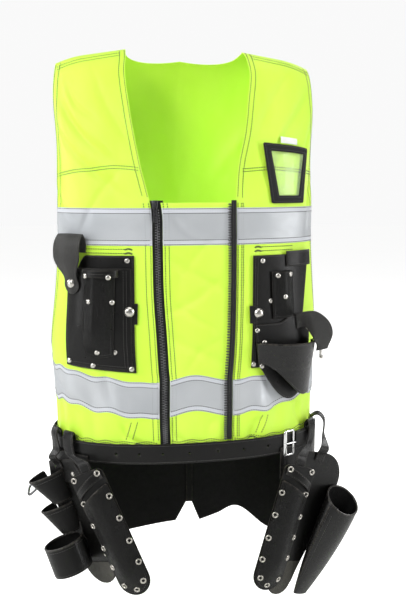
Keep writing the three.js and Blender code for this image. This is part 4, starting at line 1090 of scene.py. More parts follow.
def make_zips():
    below = -SEAT - 1

    def right_at(u, down, w):
        start = -section("right", down) - 5 * MIDDLE_PER_MM
        return cloth("front", mix(start, start + 28 * MIDDLE_PER_MM, u), down, mix(below, -SEAT, w))

    rows = spaced(ZIP_TOP, ZIP_END, 110)
    tape = sheet_mesh(shares(8), rows, right_at)
    settle("right_zip_tape_weave", tape, TAPE, "right_zip_tape", 1, 0.2)
    count = int((ZIP_END - ZIP_TOP - 20) / 2.25)
    places = tooth_places(zip_middle, spaced(ZIP_TOP + 17, ZIP_END - 3, count), 1.1, 1.9)
    repeated("right_zip_teeth", tooth_shape(), places, SHEEN_PLASTIC, "right_zip_chain")

    lift = CLOTH + 0.4 + BAND_THICK + SEAT

    def left_at(u, down, w):
        start, end = left_tape(down)
        return cloth("front", mix(start, end, u), down, mix(lift, lift + 1, w))

    rows = spaced(ZIP_TOP, BELT_TOP - 2, 108)
    tape = sheet_mesh(shares(4), rows, left_at)
    settle("left_zip_tape_weave", tape, TAPE, "left_zip_tape", 1, 0.2)

    def comb(down):
        return left_tape(down)[0] - 3.0 * MIDDLE_PER_MM

    count = int((BELT_TOP - ZIP_TOP - 10) / 4.5)
    places = tooth_places(comb, spaced(ZIP_TOP + 7, BELT_TOP - 4, count), lift + 1.2, 0)
    repeated("left_zip_comb", tooth_shape(), places, SHEEN_PLASTIC, "left_zip_teeth")
    for inset in (3.5, 7.5):
        path = [(left_tape(d)[0] + inset * MIDDLE_PER_MM, d) for d in spaced(ZIP_TOP + 3, BELT_TOP - 6, 90)]
        cloth_seam("tape_stitching", "front", path, lift + 1.15)
    make_slider()


def join(bm, extra):
    """Adds one shape to another."""
    mesh = bpy.data.meshes.new("joined_shape")
    extra.to_mesh(mesh)
    extra.free()
    bm.from_mesh(mesh)
    bpy.data.meshes.remove(mesh)


def rounded_block(size_at, middle, height, rounding):
    """A block of (width at its foot, width at its head, length, thickness), with rounded edges."""
    foot, head, length, thick = size_at
    bm = bmesh.new()
    bmesh.ops.create_cube(bm, size=1)
    for vert in bm.verts:
        wide = foot if vert.co.y < 0 else head
        vert.co = Vector((vert.co.x * wide, vert.co.y * length + middle, vert.co.z * thick + height)) * MM
    bmesh.ops.bevel(bm, geom=bm.edges[:], offset=rounding * MM, segments=2, **BEVEL)
    return bm


def slider_pull():
    """A flat pull with a slot near its lower end."""
    pull = bmesh.new()
    bmesh.ops.create_grid(pull, x_segments=3, y_segments=9, size=1)
    for vert in pull.verts:
        width = 5.6 if vert.co.y > 0.5 else mix(7.6, 5.6, clamp(vert.co.y + 0.5))
        vert.co = Vector((vert.co.x * width / 2, mix(-38, -10, (vert.co.y + 1) / 2), 2.4)) * MM
    slot = []
    for face in pull.faces:
        middle = face.calc_center_median()
        if abs(middle.x) < 1 * MM and middle.y < -18 * MM:
            slot.append(face)
    bmesh.ops.delete(pull, geom=slot[:4], context="FACES")
    grown = bmesh.ops.extrude_face_region(pull, geom=pull.faces[:])
    up = [v for v in grown["geom"] if isinstance(v, bmesh.types.BMVert)]
    bmesh.ops.translate(pull, vec=(0, 0, 1.6 * MM), verts=up)
    bmesh.ops.recalc_face_normals(pull, faces=pull.faces[:])
    return pull


def make_slider():
    spot = cloth("front", zip_middle(ZIP_TOP), ZIP_TOP, 3.2)
    matrix = seat_matrix(spot, cloth("front", zip_middle(ZIP_TOP), ZIP_TOP, 4.2) - spot)
    # The body narrows towards its foot, with a raised bridge, and the pull hangs from the bridge
    bm = rounded_block((8.4, 11, 15, 2.6), -7.5, 1.3, 0.9)
    join(bm, rounded_block((3.4, 3.4, 9, 1.6), -7, 2.6, 0.6))
    join(bm, slider_pull())
    bmesh.ops.transform(bm, matrix=matrix, verts=bm.verts[:])
    settle("right_zip_slider_metal", bm, GUNMETAL, "right_zip_slider", 0, 0.3)


# The card pocket

CARD = (44, 166)


def make_card_pocket():
    def at(across, drop, border, lift):
        half = mix(100, 72, drop) / 2 - border
        return beside(CARD, (2 * across - 1) * half, mix(border, 108 - border, drop), lift)

    inner = CLOTH + 1.5
    top, bottom = [(0.02, 0), (0.98, 0)], [(0.98, 1), (0.02, 1)]
    path = polyline([*top, (1, 0.02), (1, 0.98), *bottom, (0, 0.98), (0, 0.02), top[0]], 0.05)

    def binding_at(u, v, w):
        across, drop = path[round(u * (len(path) - 1))]
        return at(across, drop, v * 13.4, inner + w + 1.1 * arch(v) ** 0.6)

    bm = sheet_mesh(shares(len(path) - 1), shares(6), binding_at)
    settle("id_pocket_frame", bm, TAPE, "id_pocket_binding", 1.3, 0.3)
    for border in (3, 10.5):
        line = []
        for across, drop in path:
            a = at(across, drop, border, inner + 2.9)
            line.append((a, at(across, drop, border, inner + 3.9) - a))
        seam("card_stitching", line)

    def film_at(u, v, w):
        return at(u, v, 12.6, inner + 0.3 + 1.2 * arch(u) * arch(v) + w * 0.5)

    bm = sheet_mesh(shares(16), shares(20), film_at)
    settle("id_pocket_film", bm, FILM, "id_pocket_window", 0.5)

    def label_at(u, v, w):
        return beside(CARD, (u - 0.5) * 36, -15 + 12 * v, CLOTH + 1 + w * 0.8 + 0.4 * arch(v))

    bm = sheet_mesh(shares(10), shares(4), label_at)
    settle("label_tab_weave", bm, LABEL, "label_tab", 0.8, 0.25)


# Chest pockets

RIGHT_CHEST = (-40, 363)
LEFT_CHEST = (40, 366)


def sheet_at(place, edges, lift):
    """left, right, top and bottom are millimetres or functions of a share; lift is a number or a function."""

    def value(edge, share):
        return edge(share) if callable(edge) else edge

    left, right, top, bottom = edges

    def at(u, v, w):
        y = mix(value(top, u), value(bottom, u), v)
        x = mix(value(left, v), value(right, v), u)
        out = lift(u, v, x, y) if callable(lift) else lift
        return beside(place, x, y, out + w * LEATHER)

    return at


def border(inset_u, inset_v, open_top=False):
    """A path round a sheet, in from its edges."""
    a, b = inset_u, inset_v
    corners = [(a, b), (a, 1 - b), (1 - a, 1 - b), (1 - a, b)]
    return polyline(corners if open_top else corners + [(a, b)], 0.03)


def rolled_edge(name, at, path, radius=1.7):
    """A rolled welt along a pocket's mouth."""
    points = [at(u, v, 0.5) for u, v in path]
    settle(name, tube_mesh(points, radius, 8), SMOOTH)


def set_rivets(name, trees, spots, shape, material):
    places = []
    for point, out in spots:
        spot, normal = landed(trees, point, out)
        if normal.dot(out) < 0:
            normal = -normal
        places.append(seat_matrix(spot, normal))
    repeated(name, shape, places, material)


def spot_beside(place, x, y, lift):
    """A point beside a place on the body, and the direction outwards there."""
    spot = beside(place, x, y, lift)
    return spot, beside(place, x, y, lift + 1) - spot


def make_right_chest():
    def top(u):
        return 46 * (1 - ease(0.05, 0.35, u))

    def bottom(u):
        return 208 + 10 * (u - 1)

    plate_at = sheet_at(RIGHT_CHEST, (-66, lambda v: mix(58, 62, v), top, bottom), PLATE_LIFT)
    plate = leather("right_chest_plate_leather", plate_at, 40, 44, "right_chest_plate")
    base = PLATE_LIFT + LEATHER + 2 * SEAT

    def bulge(u, v):
        return 9 * arch(u) ** 0.8 * (1 - ease(0.55, 1, v))

    pocket_at = sheet_at(
        RIGHT_CHEST,
        (-61, lambda v: mix(53.5, 57.5, v), lambda u: max(top(u) + 5, 22), lambda u: bottom(u) - 5),
        lambda u, v, x, y: base + bulge(u, v),
    )
    pocket = leather("right_chest_pocket_leather", pocket_at, 44, 48, "right_chest_pocket", inner=INSIDE)

    def under(x, y):
        share = clamp((y - 22) / (206 - 5 - 22))
        return base + bulge((x + 61) / 124, share) + LEATHER

    def strip_lift(u, v, x, y):
        return under(x, y) + 1.2 + 9 * arch(u) * (1 - ease(0.7, 1, v))

    def strip_bottom(u):
        return 180 - 14 * (1 - arch(mix(0.12, 0.88, u)) ** 0.5)

    strip_at = sheet_at(RIGHT_CHEST, (-18, 30, 26, strip_bottom), strip_lift)
    strip = leather("right_rule_strip_leather", strip_at, 24, 48, "right_rule_strip", PEBBLED, inner=INSIDE)
    band_at = sheet_at(
        RIGHT_CHEST, (-22, 34, 24, 37), lambda u, v, x, y: under(x, y) + 0.8 + 14.2 * arch(u) ** 0.5
    )
    band = leather("right_strip_band_leather", band_at, 28, 5, "right_strip_band", inner=INSIDE)
    seat = CLOTH + 2 * SEAT + LEATHER / 2
    stand = 27
    rise = [(-4, seat), (-22, seat + 1), (-36, stand * 0.6)]
    stops = rise + [(-22, stand), (12, stand), (43, stand - 6), (67, stand - 9)]

    def flap_x(y):
        return -53 + 10 * ease(10, 55, y)

    def stop(y, lift):
        return lambda aside: beside(RIGHT_CHEST, flap_x(y) + aside, y, lift)

    def narrowing(v):
        neck = mix(1, 0.46, ease(0.62, 0.82, v)) + 0.07 * ease(0.82, 0.9, v)
        return neck * math.sqrt(max(1 - max((v - 0.88) / 0.12, 0) ** 2, 0.01))

    flap_at = strap_at([stop(y, lift) for y, lift in stops], 56, LEATHER, narrowing, 0.8)
    flap = leather("right_chest_flap_leather", flap_at, 16, 80, "right_chest_flap", SHEEN_GREY, bevel=0.8)
    path = polyline([(0.07, 0.3), (0.09, 0.96), (0.91, 0.96), (0.93, 0.3)])
    sheet_seam("right_chest_stitching", flap_at, path)
    y = 49
    spot, out = spot_beside(RIGHT_CHEST, flap_x(y), y, stand - 4)
    point, _ = landed(surface_of(flap), spot, out, 40)
    cap = [seat_matrix(point, out)]
    repeated("right_flap_snap_cap", snap_shape(7.6, 3.8), cap, NICKEL, "right_flap_snap")
    x, y = 52, 98
    spot, out = spot_beside(RIGHT_CHEST, x, y, under(x, y))
    point, _ = landed(surface_of(pocket), spot, out)
    cap = [seat_matrix(point, out)]
    repeated("right_chest_snap_cap", snap_shape(), cap, NICKEL, "right_chest_snap")

    sheet_seam("right_chest_stitching", plate_at, border(0.025, 0.012))
    for u in (0.9, 0.94):
        sheet_seam("right_chest_stitching", pocket_at, polyline([(u, 0.02), (u, 0.98)]))
    sheet_seam("right_chest_stitching", pocket_at, polyline([(0.05, 0.16), (0.05, 0.97), (0.94, 0.97)]))
    sheet_seam("right_chest_stitching", strip_at, border(0.08, 0.03, True))
    sheet_seam("right_chest_stitching", band_at, polyline([(0.08, 0.5), (0.92, 0.5)], 0.05))
    # Angle and down of each rivet
    rivets = [
        (-27.5, 372), (-43.6, 397), (-33.9, 399), (-42.2, 442), (-32.6, 443), (-38.9, 533), (-31.9, 533),
        (-41.7, 558), (-25.4, 563), (-54.6, 552), (-54, 420),
    ]
    trees = surface_of(plate, pocket, strip, band)
    set_rivets("right_chest_rivets", trees, [chest_spot(*spot) for spot in rivets], rivet_shape(), NICKEL)
    # A short tab that comes out from behind the pocket under the dome snap
    tab_at = sheet_at(RIGHT_CHEST, (57, 64.5, 84, 121), lambda u, v, x, y: PLATE_LIFT - 0.3 + 0.6 * arch(v))
    leather("right_snap_tab_leather", tab_at, 8, 14)


def make_left_chest():
    plate_at = sheet_at(LEFT_CHEST, (lambda v: -57 - 6 * v, lambda v: mix(72, 20, v), 0, 204), PLATE_LIFT)
    plate = leather("left_chest_plate_leather", plate_at, 40, 50, "left_chest_plate")
    first = PLATE_LIFT + LEATHER

    def pen_lift(u, v, x, y):
        return first + 1 + 8 * arch(u) * (1 - ease(0.7, 1, v))

    pen_at = sheet_at(LEFT_CHEST, (-26, 16, 30, 116), pen_lift)
    pen = leather("left_pen_strip_leather", pen_at, 24, 28, "left_pen_strip", PEBBLED, inner=INSIDE)
    tab_at = sheet_at(LEFT_CHEST, (4, 74, -6, 22), lambda u, v, x, y: first + 2 * SEAT + 2 * arch(u))
    tab = leather("left_pen_tab_leather", tab_at, 26, 10, "left_pen_tab")
    spot, out = spot_beside(LEFT_CHEST, -50, 104, first + 0.2)
    cap = [seat_matrix(spot, out)]
    repeated("left_chest_snap_cap", snap_shape(), cap, NICKEL, "left_chest_snap")
    snap_tab = sheet_at(LEFT_CHEST, (-65, -54, 90, 122), lambda u, v, x, y: PLATE_LIFT + 0.6 * arch(v))
    leather("left_snap_tab_leather", snap_tab, 8, 14)

    second = first + 1.1

    def scoop_plate_top(u):
        return 124 - 12 * ease(0.35, 0.62, u)

    def scoop_plate_foot(u):
        return 124 + 144 * mix(0.34, 1, arch(mix(0.08, 0.82, u)))

    edges = (lambda v: -60 + 8 * v, 58, scoop_plate_top, scoop_plate_foot)
    scoop_plate_at = sheet_at(LEFT_CHEST, edges, second)
    back = leather("left_scoop_plate_leather", scoop_plate_at, 44, 40, "left_scoop_plate")
    third = second + LEATHER + 1

    def scoop_lift(u, v, x, y):
        return third + 34 * arch(u) ** 0.7 * mix(1, 0.45, v)

    scoop_at = sheet_at(
        LEFT_CHEST,
        (
            lambda v: -56 + 4 * v,
            lambda v: 62 - 5 * v,
            lambda u: 158 + 4 * u,
            lambda u: 158 + 102 * mix(0.36, 1, ease(0, 0.75, u)),
        ),
        scoop_lift,
    )
    scoop = leather("left_scoop_leather", scoop_at, 44, 34, "left_scoop", POLISHED, inner=INSIDE, bevel=0.9)
    rolled_edge("left_scoop_lip", scoop_at, [(s, 0) for s in spaced(0.02, 0.98, 40)], 1.9)
    make_scoop_strap(third)
    sheet_seam("left_chest_stitching", plate_at, border(0.03, 0.014))
    sheet_seam("left_chest_stitching", plate_at, polyline([(0.065, 0.02), (0.065, 0.98)]))
    sheet_seam("left_chest_stitching", pen_at, border(0.08, 0.04, True))
    sheet_seam("left_chest_stitching", scoop_plate_at, border(0.03, 0.02))
    sheet_seam("left_chest_stitching", scoop_at, polyline([(0.04, 0.03), (0.96, 0.03)], 0.02))
    sheet_seam("left_chest_stitching", scoop_at, polyline([(0.03, 0.05), (0.04, 0.96), (0.96, 0.96)], 0.02))
    sheet_seam("left_chest_stitching", tab_at, border(0.05, 0.12))
    trees = surface_of(plate, pen, tab, back, scoop)
    rivets = [
        (29.2, 376), (35.3, 403), (42.1, 402), (32.6, 449), (38.4, 442), (25.6, 501), (28.7, 524),
        (27.8, 567), (24.4, 563), (53.5, 505),
    ]
    set_rivets("left_chest_rivets", trees, [chest_spot(*spot) for spot in rivets], rivet_shape(), NICKEL)


def make_scoop_strap(lift):
    # Across, down, out and the direction of the strap's width at each stop
    stops = [
        (20, 124, lift + 0.4, (0, 0, 1)),
        (29, 121, lift + 11, (-0.3, -0.4, 0.88)),
        (39, 127, lift + 24, (0.1, -0.25, 0.97)),
        (49, 140, lift + 31, (0.5, -0.1, 0.85)),
        (60, 158, lift + 31, (0.9, 0, 0.42)),
        (68, 180, lift + 22, (0.97, 0.05, 0.15)),
    ]

    def stop(x, y, out, side):
        return lambda aside: beside(LEFT_CHEST, x, y, out) + Vector(side).normalized() * aside

    def narrowing(v):
        return mix(0.62, 1, ease(0.05, 0.42, v)) * mix(1, 0.5, ease(0.62, 1, v))

    at = strap_at([stop(*row) for row in stops], 46, LEATHER, narrowing, 0.5)
    leather("left_scoop_strap_leather", at, 12, 60, "left_scoop_strap", SHEEN_GREY, bevel=0.8)
    sheet_seam("left_chest_stitching", at, polyline([(0.12, 0.05), (0.12, 0.97)]))
    sheet_seam("left_chest_stitching", at, polyline([(0.88, 0.05), (0.88, 0.97)]))
    # A flat hook: a plate on the strap's end with a turned-up tongue
    matrix = seat_matrix(*spot_beside(LEFT_CHEST, 71, 190, lift + 18))
    path = [(11.5, 0.4), (5, 0.8), (-4, 1.0), (-7, 1.8), (-7.4, 3.0), (-5, 3.4), (-1, 3.3)]
    points = [Vector((0, up, out)) for up, out in path]

    def hook_at(u, v, w):
        point = catmull(points, v)
        ahead = catmull(points, min(v + 0.02, 1)) - catmull(points, max(v - 0.02, 0))
        normal = Vector((1, 0, 0)).cross(ahead).normalized()
        return point + Vector(((u - 0.5) * mix(8.4, 6.2, ease(0.3, 0.7, v)), 0, 0)) + normal * w

    bm = sheet_mesh(shares(4), shares(26), hook_at)
    bmesh.ops.transform(bm, matrix=matrix, verts=bm.verts[:])
    settle("left_strap_hook_metal", bm, NICKEL, "left_strap_hook", 0.9, 0.25)


# The belt

def cut_holes(thing, places, radius):
    """Round holes through a piece, cut with a boolean that is then applied."""
    bm = bmesh.new()
    size = {"radius1": radius * MM, "radius2": radius * MM, "depth": 24 * MM}
    for matrix in places:
        bmesh.ops.create_cone(bm, cap_ends=True, segments=16, matrix=matrix, **size)
    mesh = bpy.data.meshes.new("hole_punch")
    bm.to_mesh(mesh)
    bm.free()
    punch = bpy.data.objects.new("hole_punch", mesh)
    bpy.context.scene.collection.objects.link(punch)
    cut = thing.modifiers.new("holes", "BOOLEAN")
    cut.operation = "DIFFERENCE"
    cut.solver = "EXACT"
    cut.object = punch
    bpy.context.view_layer.update()
    done = bpy.data.meshes.new_from_object(thing.evaluated_get(bpy.context.evaluated_depsgraph_get()))
    thing.modifiers.clear()
    thing.data = done
    bpy.data.objects.remove(punch)


def belt_at(start, end, top, bottom, lift, thickness):
    return lambda u, v, w: hoop(mix(start, end, u), mix(top, bottom, v), lift + w * thickness)


def ring_path(corners, radius, steps=5):
    """A closed path through corners in X and Y, with its corners rounded."""
    out = []
    count = len(corners)
    for k, corner in enumerate(corners):
        here = Vector(corner)
        before = (Vector(corners[k - 1]) - here).normalized() * radius
        after = (Vector(corners[(k + 1) % count]) - here).normalized() * radius
        for step in range(steps + 1):
            t = step / steps
            a, b = (here + before).lerp(here, t), here.lerp(here + after, t)
            out.append(a.lerp(b, t))
    return out


def make_belt():
    at = belt_at(0, 360, BELT_TOP, BELT_BOTTOM, BELT_IN, 3)
    belt = leather("belt_leather", at, 240, 8, "belt", BELTING, 3, bevel=0.8)
    holes = []
    for angle in (-33, -23.5, -14, -3, 9, 20, 31):
        down = BELT_TOP + BELT_HEIGHT / 2 - 1
        out = hoop(angle, down, BELT_OUT) - hoop(angle, down, 0)
        holes.append(seat_matrix(hoop(angle, down, BELT_IN), out))
    cut_holes(belt, holes, 2.1)
    for inset in (0.09, 0.91):
        sheet_seam("belt_stitching", at, [(u, inset) for u in shares(300)], 1.02, 3.6)
    tip = (BUCKLE_ANGLE + 4, BUCKLE_ANGLE + 36, BELT_TOP + 1, BELT_BOTTOM - 1)
    tip_at = belt_at(*tip, BELT_OUT + 2 * SEAT, LEATHER)
    leather("belt_tip_leather", tip_at, 50, 8, "belt_tip", BELTING, bevel=0.8)
    for inset in (0.09, 0.91):
        sheet_seam("belt_stitching", tip_at, [(u, inset) for u in shares(60)], 1.02, 3.6)
    make_buckle()
    make_keeper()


def make_buckle():
    middle = BELT_TOP + BELT_HEIGHT / 2
    spot = hoop(BUCKLE_ANGLE, middle, BELT_OUT + SEAT)
    matrix = seat_matrix(spot, hoop(BUCKLE_ANGLE, middle, 20) - hoop(BUCKLE_ANGLE, middle, 0))
    w, h = 12 - 2.2, 25 - 2.2
    frame_path = [Vector((p.x, p.y, 1.9)) for p in ring_path([(-w, -h), (w, -h), (w, h), (-w, h)], 4)]
    bm = tube_mesh(frame_path, 2.2, 10, True, 0.82, lambda k: Vector((0, 0, 1)))
    # The outer bar runs on past the corners in two short points
    bar = [Vector((-w, y, 1.9)) for y in (-h - 2.2, -h + 0.5, -h + 6, 0, h - 6, h - 0.5, h + 2.2)]

    def broad(share):
        return mix(4.1, 0.8, ease(0.34, 0.5, abs(share - 0.5)))

    join(bm, tube_mesh(bar, broad, 12, False, 0.56, lambda k: Vector((0, 0, 1))))
    bmesh.ops.transform(bm, matrix=matrix, verts=bm.verts[:])
    settle("buckle_frame_metal", bm, CHROME, "buckle_frame")
    prong = ((13.4, 4.6), (10, 5.3), (4, 5.4), (-4, 5.3), (-9, 5.1), (-13.2, 4.6))
    bm = tube_mesh([Vector((x, 0, z)) for x, z in prong], lambda share: mix(1.9, 1.2, share), 10)
    bmesh.ops.transform(bm, matrix=matrix, verts=bm.verts[:])
    settle("buckle_prong_metal", bm, CHROME, "buckle_prong")


def make_keeper():
    high, low = BELT_OUT + 2 * SEAT + LEATHER + SEAT, BELT_IN - SEAT
    corners = ring_path([(BELT_TOP, low), (BELT_TOP, high), (BELT_BOTTOM, high), (BELT_BOTTOM, low)], 3, 4)
    corners = [Vector((down, lift)) for down, lift in corners]
    scale = hoop_degrees(BUCKLE_ANGLE)

    def keeper_at(u, v, w):
        k = round(u * len(corners)) % len(corners)
        before, after = corners[k - 1], corners[(k + 1) % len(corners)]
        ahead = (after - before).normalized()
        out = Vector((-ahead.y, ahead.x))
        down, lift = corners[k] + out * (-0.5 - 1.6 * w)
        return hoop(BUCKLE_ANGLE + 6.5 + (v - 0.5) * 9 * scale, down, lift)

    bm = sheet_mesh(shares(len(corners)), shares(4), keeper_at)
    settle("belt_keeper_leather", bm, SMOOTH, "belt_keeper", 1.6, 0.4)


# Hip groups

def hip_loop(name, angle, stand, swing, ends):
    """A loop over the belt, at an angle and a distance from the body, down to the strap's ends."""
    inside = CLOTH + 2 * SEAT + LEATHER / 2
    stops = [
        (angle, BELT_BOTTOM + 10, inside),
        (angle, BELT_TOP + 6, inside),
        (angle, BELT_TOP - 6, inside + 0.6),
        (angle + swing / 4, BELT_TOP - 14, mix(inside, stand, 0.55)),
        (angle + swing / 2, BELT_TOP - 4, stand),
        (angle + swing, BELT_BOTTOM - 12, stand),
    ]
    scale = hoop_degrees(angle)

    def stop(degrees, down, lift):
        return lambda aside: hoop(degrees + aside * scale, down, lift)

    at = strap_at([stop(*row) for row in stops] + ends, 22, LEATHER, crown=0.4)
    leather(name + "_leather", at, 10, 90, name, bevel=0.8)
    for u in (0.13, 0.87):
        sheet_seam("hip_stitching", at, polyline([(u, 0.3), (u, 0.98)]))


def stops_on(place, x, rows):
    """Stops of a strap on a hanging plate, through (outwards, height) rows."""
    return [(lambda aside, far=far, z=z: within(place, x + aside, far, z)) for far, z in rows]


def seated_on(place, x):
    out = LEATHER + SEAT + LEATHER / 2
    return stops_on(place, x, ((out + 5, 10), (out, -5), (out, -16)))


def seated_behind(place, x):
    out = -SEAT - LEATHER / 2
    return stops_on(place, x, ((out - 2, 14), (out, -6), (out, -26)))


def outwards(place):
    return within(place, 0, 1, 0) - within(place, 0, 0, 0)


HOLSTER = {"length": 240, "top": 33, "foot": 31, "mouth": 32, "slant": 26, "bulge": 15, "rim": 2}
# Across and down of the rivets round the foot
HOLSTER_FOOT_RIVETS = [(26, 181), (-19, 214), (19, 216), (0, 228)]


def holster_half(distance):
    centre = HOLSTER["length"] - HOLSTER["foot"]
    if distance <= centre:
        return mix(HOLSTER["top"], HOLSTER["foot"], distance / centre)
    return math.sqrt(max(HOLSTER["foot"] ** 2 - (distance - centre) ** 2, 0))


def make_holster(side_name, place, side, rivets):
    length, foot, slant = HOLSTER["length"], HOLSTER["foot"], HOLSTER["slant"]

    def plate_half(distance):
        if distance > 8:
            return holster_half(distance)
        return mix(HOLSTER["top"] - 10, HOLSTER["top"], (distance / 8) ** 0.5)

    def plate_at(u, v, w):
        distance = length * (1 - (1 - v) ** 1.25)
        return within(place, (2 * u - 1) * max(plate_half(distance), 0.5), w * LEATHER, -distance)

    rows = [0, 0.006, 0.013, 0.022, 0.03] + spaced(0.05, 0.95, 40) + [0.965, 0.978, 0.988, 0.995, 1]
    plate = leather(f"{side_name}_holster_back", plate_at, 20, rows, f"{side_name}_holster_plate")
    base = LEATHER + SEAT
    end = length - HOLSTER["rim"] - 3

    def pocket_at(u, v, w):
        across = u if side > 0 else 1 - u
        mouth = HOLSTER["mouth"] + slant * (1 - across) ** 1.5
        distance = mix(mouth, end, 1 - (1 - v) ** 1.4)
        half = max(holster_half(distance + HOLSTER["rim"]) - HOLSTER["rim"], 3)
        swell = HOLSTER["bulge"] * arch(u) ** 1.3 * (1 - ease(0.6, 1, v))
        return within(place, (2 * u - 1) * half, base + swell + w * LEATHER, -distance)

    pocket = leather(
        f"{side_name}_holster_front", pocket_at, 30, 44, f"{side_name}_holster_pocket", PEBBLED, inner=INSIDE
    )
    rolled_edge(f"{side_name}_holster_lip", pocket_at, [(s, 0) for s in spaced(0.03, 0.97, 30)], 1.7)

    def band_at(u, v, w):
        x = side * mix(-30, 27, u)
        z = -4 - slant * (1 - u) ** 1.5 - v * 15
        return within(place, x, base + 17 * arch(u) ** 0.7 + w * LEATHER, z)

    band = leather(f"{side_name}_holster_strap", band_at, 30, 5, f"{side_name}_holster_band", inner=INSIDE)
    group = "hip_stitching"
    sheet_seam(group, pocket_at, polyline([(0.06, 0.03), (0.06, 0.86), (0.2, 0.95), (0.5, 0.972)]))
    sheet_seam(group, pocket_at, polyline([(0.94, 0.03), (0.94, 0.86), (0.8, 0.95), (0.5, 0.972)]))
    for v in (0.16, 0.84):
        sheet_seam(group, band_at, polyline([(0.06, v), (0.94, v)]))
    trees = surface_of(plate, pocket, band)
    spots = [(within(place, side * x, 0, -z), outwards(place)) for x, z in rivets]
    set_rivets(f"{side_name}_holster_eyelets", trees, spots, eyelet_shape(), EYELET)


def half_pocket_at(place, spec, out):
    x0, half, deep, top, height, taper, nose, lean, dip = spec

    def at(u, v, w):
        angle = math.pi * u
        wide = half * mix(1, taper, v) + w * LEATHER
        far = deep * mix(1, taper, v) + w * LEATHER
        shift = lean * v + nose * math.sin(angle) * (1 - v)
        z = top - height * v - dip * math.sin(angle) * (1 - v)
        return within(place, x0 + shift - wide * math.cos(angle), out + far * math.sin(angle), z)

    return at


RIGHT_HIP = hang(-242, -69, -741, -50, -17, 10)
UPPER_POUCH = (-30, 27, 42, -19, 54, 0.62, -16, 8, 4)
MIDDLE_POUCH = (-35, 26, 38, -83, 50, 0.7, -14, 6, 2)
RIGHT_HOLSTER = hang(-198, -130, -746, -24, -25, 0)
LEFT_HIP = hang(253, -89, -750, 22, 16, 4)
LEFT_HOLSTER = hang(194, -142, -754, 14, 18, 0)


def pouch_floor(name, at):
    """The small round bottom that closes a pouch below."""
    rim = [at(u, 1, 0.4) for u in shares(20)]
    centre = sum(rim, Vector()) / len(rim)

    def floor_at(u, v, w):
        edge = catmull(rim, u)
        return edge.lerp(centre, v) + Vector((0, 0, -1)) * (2.4 * v * (2 - v) + w * 1.6)

    bm = sheet_mesh(shares(20), shares(5), floor_at)
    settle(name, bm, SMOOTH, (), 1.8, 0.3)


def make_right_hip():
    place = RIGHT_HIP

    def half_at(distance):
        if distance < 50:
            return mix(34, 52, distance / 50)
        if distance < 208:
            return mix(52, 42, (distance - 50) / 158)
        return math.sqrt(max(42**2 - (distance - 208) ** 2, 0))

    def plate_at(u, v, w):
        distance = 250 * (1 - (1 - v) ** 1.25)
        return within(place, (2 * u - 1) * max(half_at(distance), 0.6), w * LEATHER, -distance)

    rows = shares(40)[:-1] + [0.985, 0.994, 1]
    plate = leather("right_hip_plate_leather", plate_at, 28, rows, "right_hip_plate")
    out = LEATHER + SEAT
    pouches = []
    for name, spec in (("right_upper_pouch", UPPER_POUCH), ("right_middle_pouch", MIDDLE_POUCH)):
        at = half_pocket_at(place, spec, out)
        pouches.append(leather(name + "_leather", at, 36, 18, name, SMOOTH, inner=INSIDE, bevel=0.9))
        rolled_edge(name + "_lip", at, [(s, 0) for s in spaced(0.01, 0.99, 44)], 1.9)
        sheet_seam("hip_stitching", at, polyline([(0.02, 0.12), (0.98, 0.12)], 0.02))
        pouch_floor(name + "_floor", at)

    def cup_at(u, v, w):
        angle = 2 * math.pi * u
        radius = 34 + w * LEATHER
        middle = out + 0.4 + 34 + LEATHER
        return within(place, -26 + radius * math.cos(angle), middle + radius * math.sin(angle), -144 - v * 56)

    leather("right_cup_leather", cup_at, 64, 16, "right_cup", SMOOTH, inner=INSIDE, bevel=0.9)
    lip = [cup_at(u, 0, 0.5) for u in shares(64)[:-1]]
    settle("right_cup_lip", tube_mesh(lip, 1.9, 8, True), POLISHED)
    sheet_seam("hip_stitching", cup_at, polyline([(0, 0.1), (1, 0.1)], 0.02))
    sheet_seam("hip_stitching", cup_at, polyline([(0, 0.92), (1, 0.92)], 0.02))
    # The small strap between the middle pouch and the cup
    strap_stops = [(-10, 5, -124), (-8, 8, -134), (-6, 11, -146), (-4, 9, -156)]

    def stop(x, far, z):
        return lambda aside: within(place, x + aside, far, z)

    tie_at = strap_at([stop(*row) for row in strap_stops], 11, 2)
    leather("right_cup_tie", tie_at, 5, 16, thick=2)
    # A pale sheet over the plate's foot below the cup, painting the sheen of light there, and the leather
    # behind the pouches

    def foot_at(u, v, w):
        distance = mix(206, 249.4, 1 - (1 - v) ** 1.4)
        half = max(half_at(distance) - 1.4, 0.5)
        return within(place, (2 * u - 1) * half, LEATHER + 0.1 + w * 0.8, -distance)

    leather("right_hip_painted_sheen", foot_at, 20, 18, (), PALE_SHEEN, 0.8, None, 0.2)

    def backing_at(u, v, w):
        return within(place, mix(-59, -36, u), w * 2, mix(-62, -98, v))

    leather("right_pouch_backing", backing_at, 5, 8, thick=2)
    make_ring(place, out)
    upper = [(-27, 7), (25, 7), (-28, 52), (27, 53), (-27.5, 94), (27, 96)]
    rivets = upper + [(-27, 138), (26.5, 140), (-26, 176), *HOLSTER_FOOT_RIVETS]
    make_holster("right", RIGHT_HOLSTER, 1, rivets)
    hip_loop("right_loop_outer", -72, BELT_OUT + 9, 5, seated_on(place, -8))
    hip_loop("right_loop_inner", -58, BELT_OUT + 9, 3, seated_behind(RIGHT_HOLSTER, 0))
    rivets = ((24, 62), (28, 130), (30, 190), (-8, 12), (22, 30))
    spots = [(within(place, x, 0, -z), outwards(place)) for x, z in rivets]
    set_rivets("right_hip_rivets", surface_of(plate, *pouches), spots, rivet_shape(), NICKEL)
    sheet_seam("hip_stitching", plate_at, polyline([(0.05, 0.04), (0.05, 0.9)]))
    sheet_seam("hip_stitching", plate_at, polyline([(0.95, 0.04), (0.95, 0.9)]))


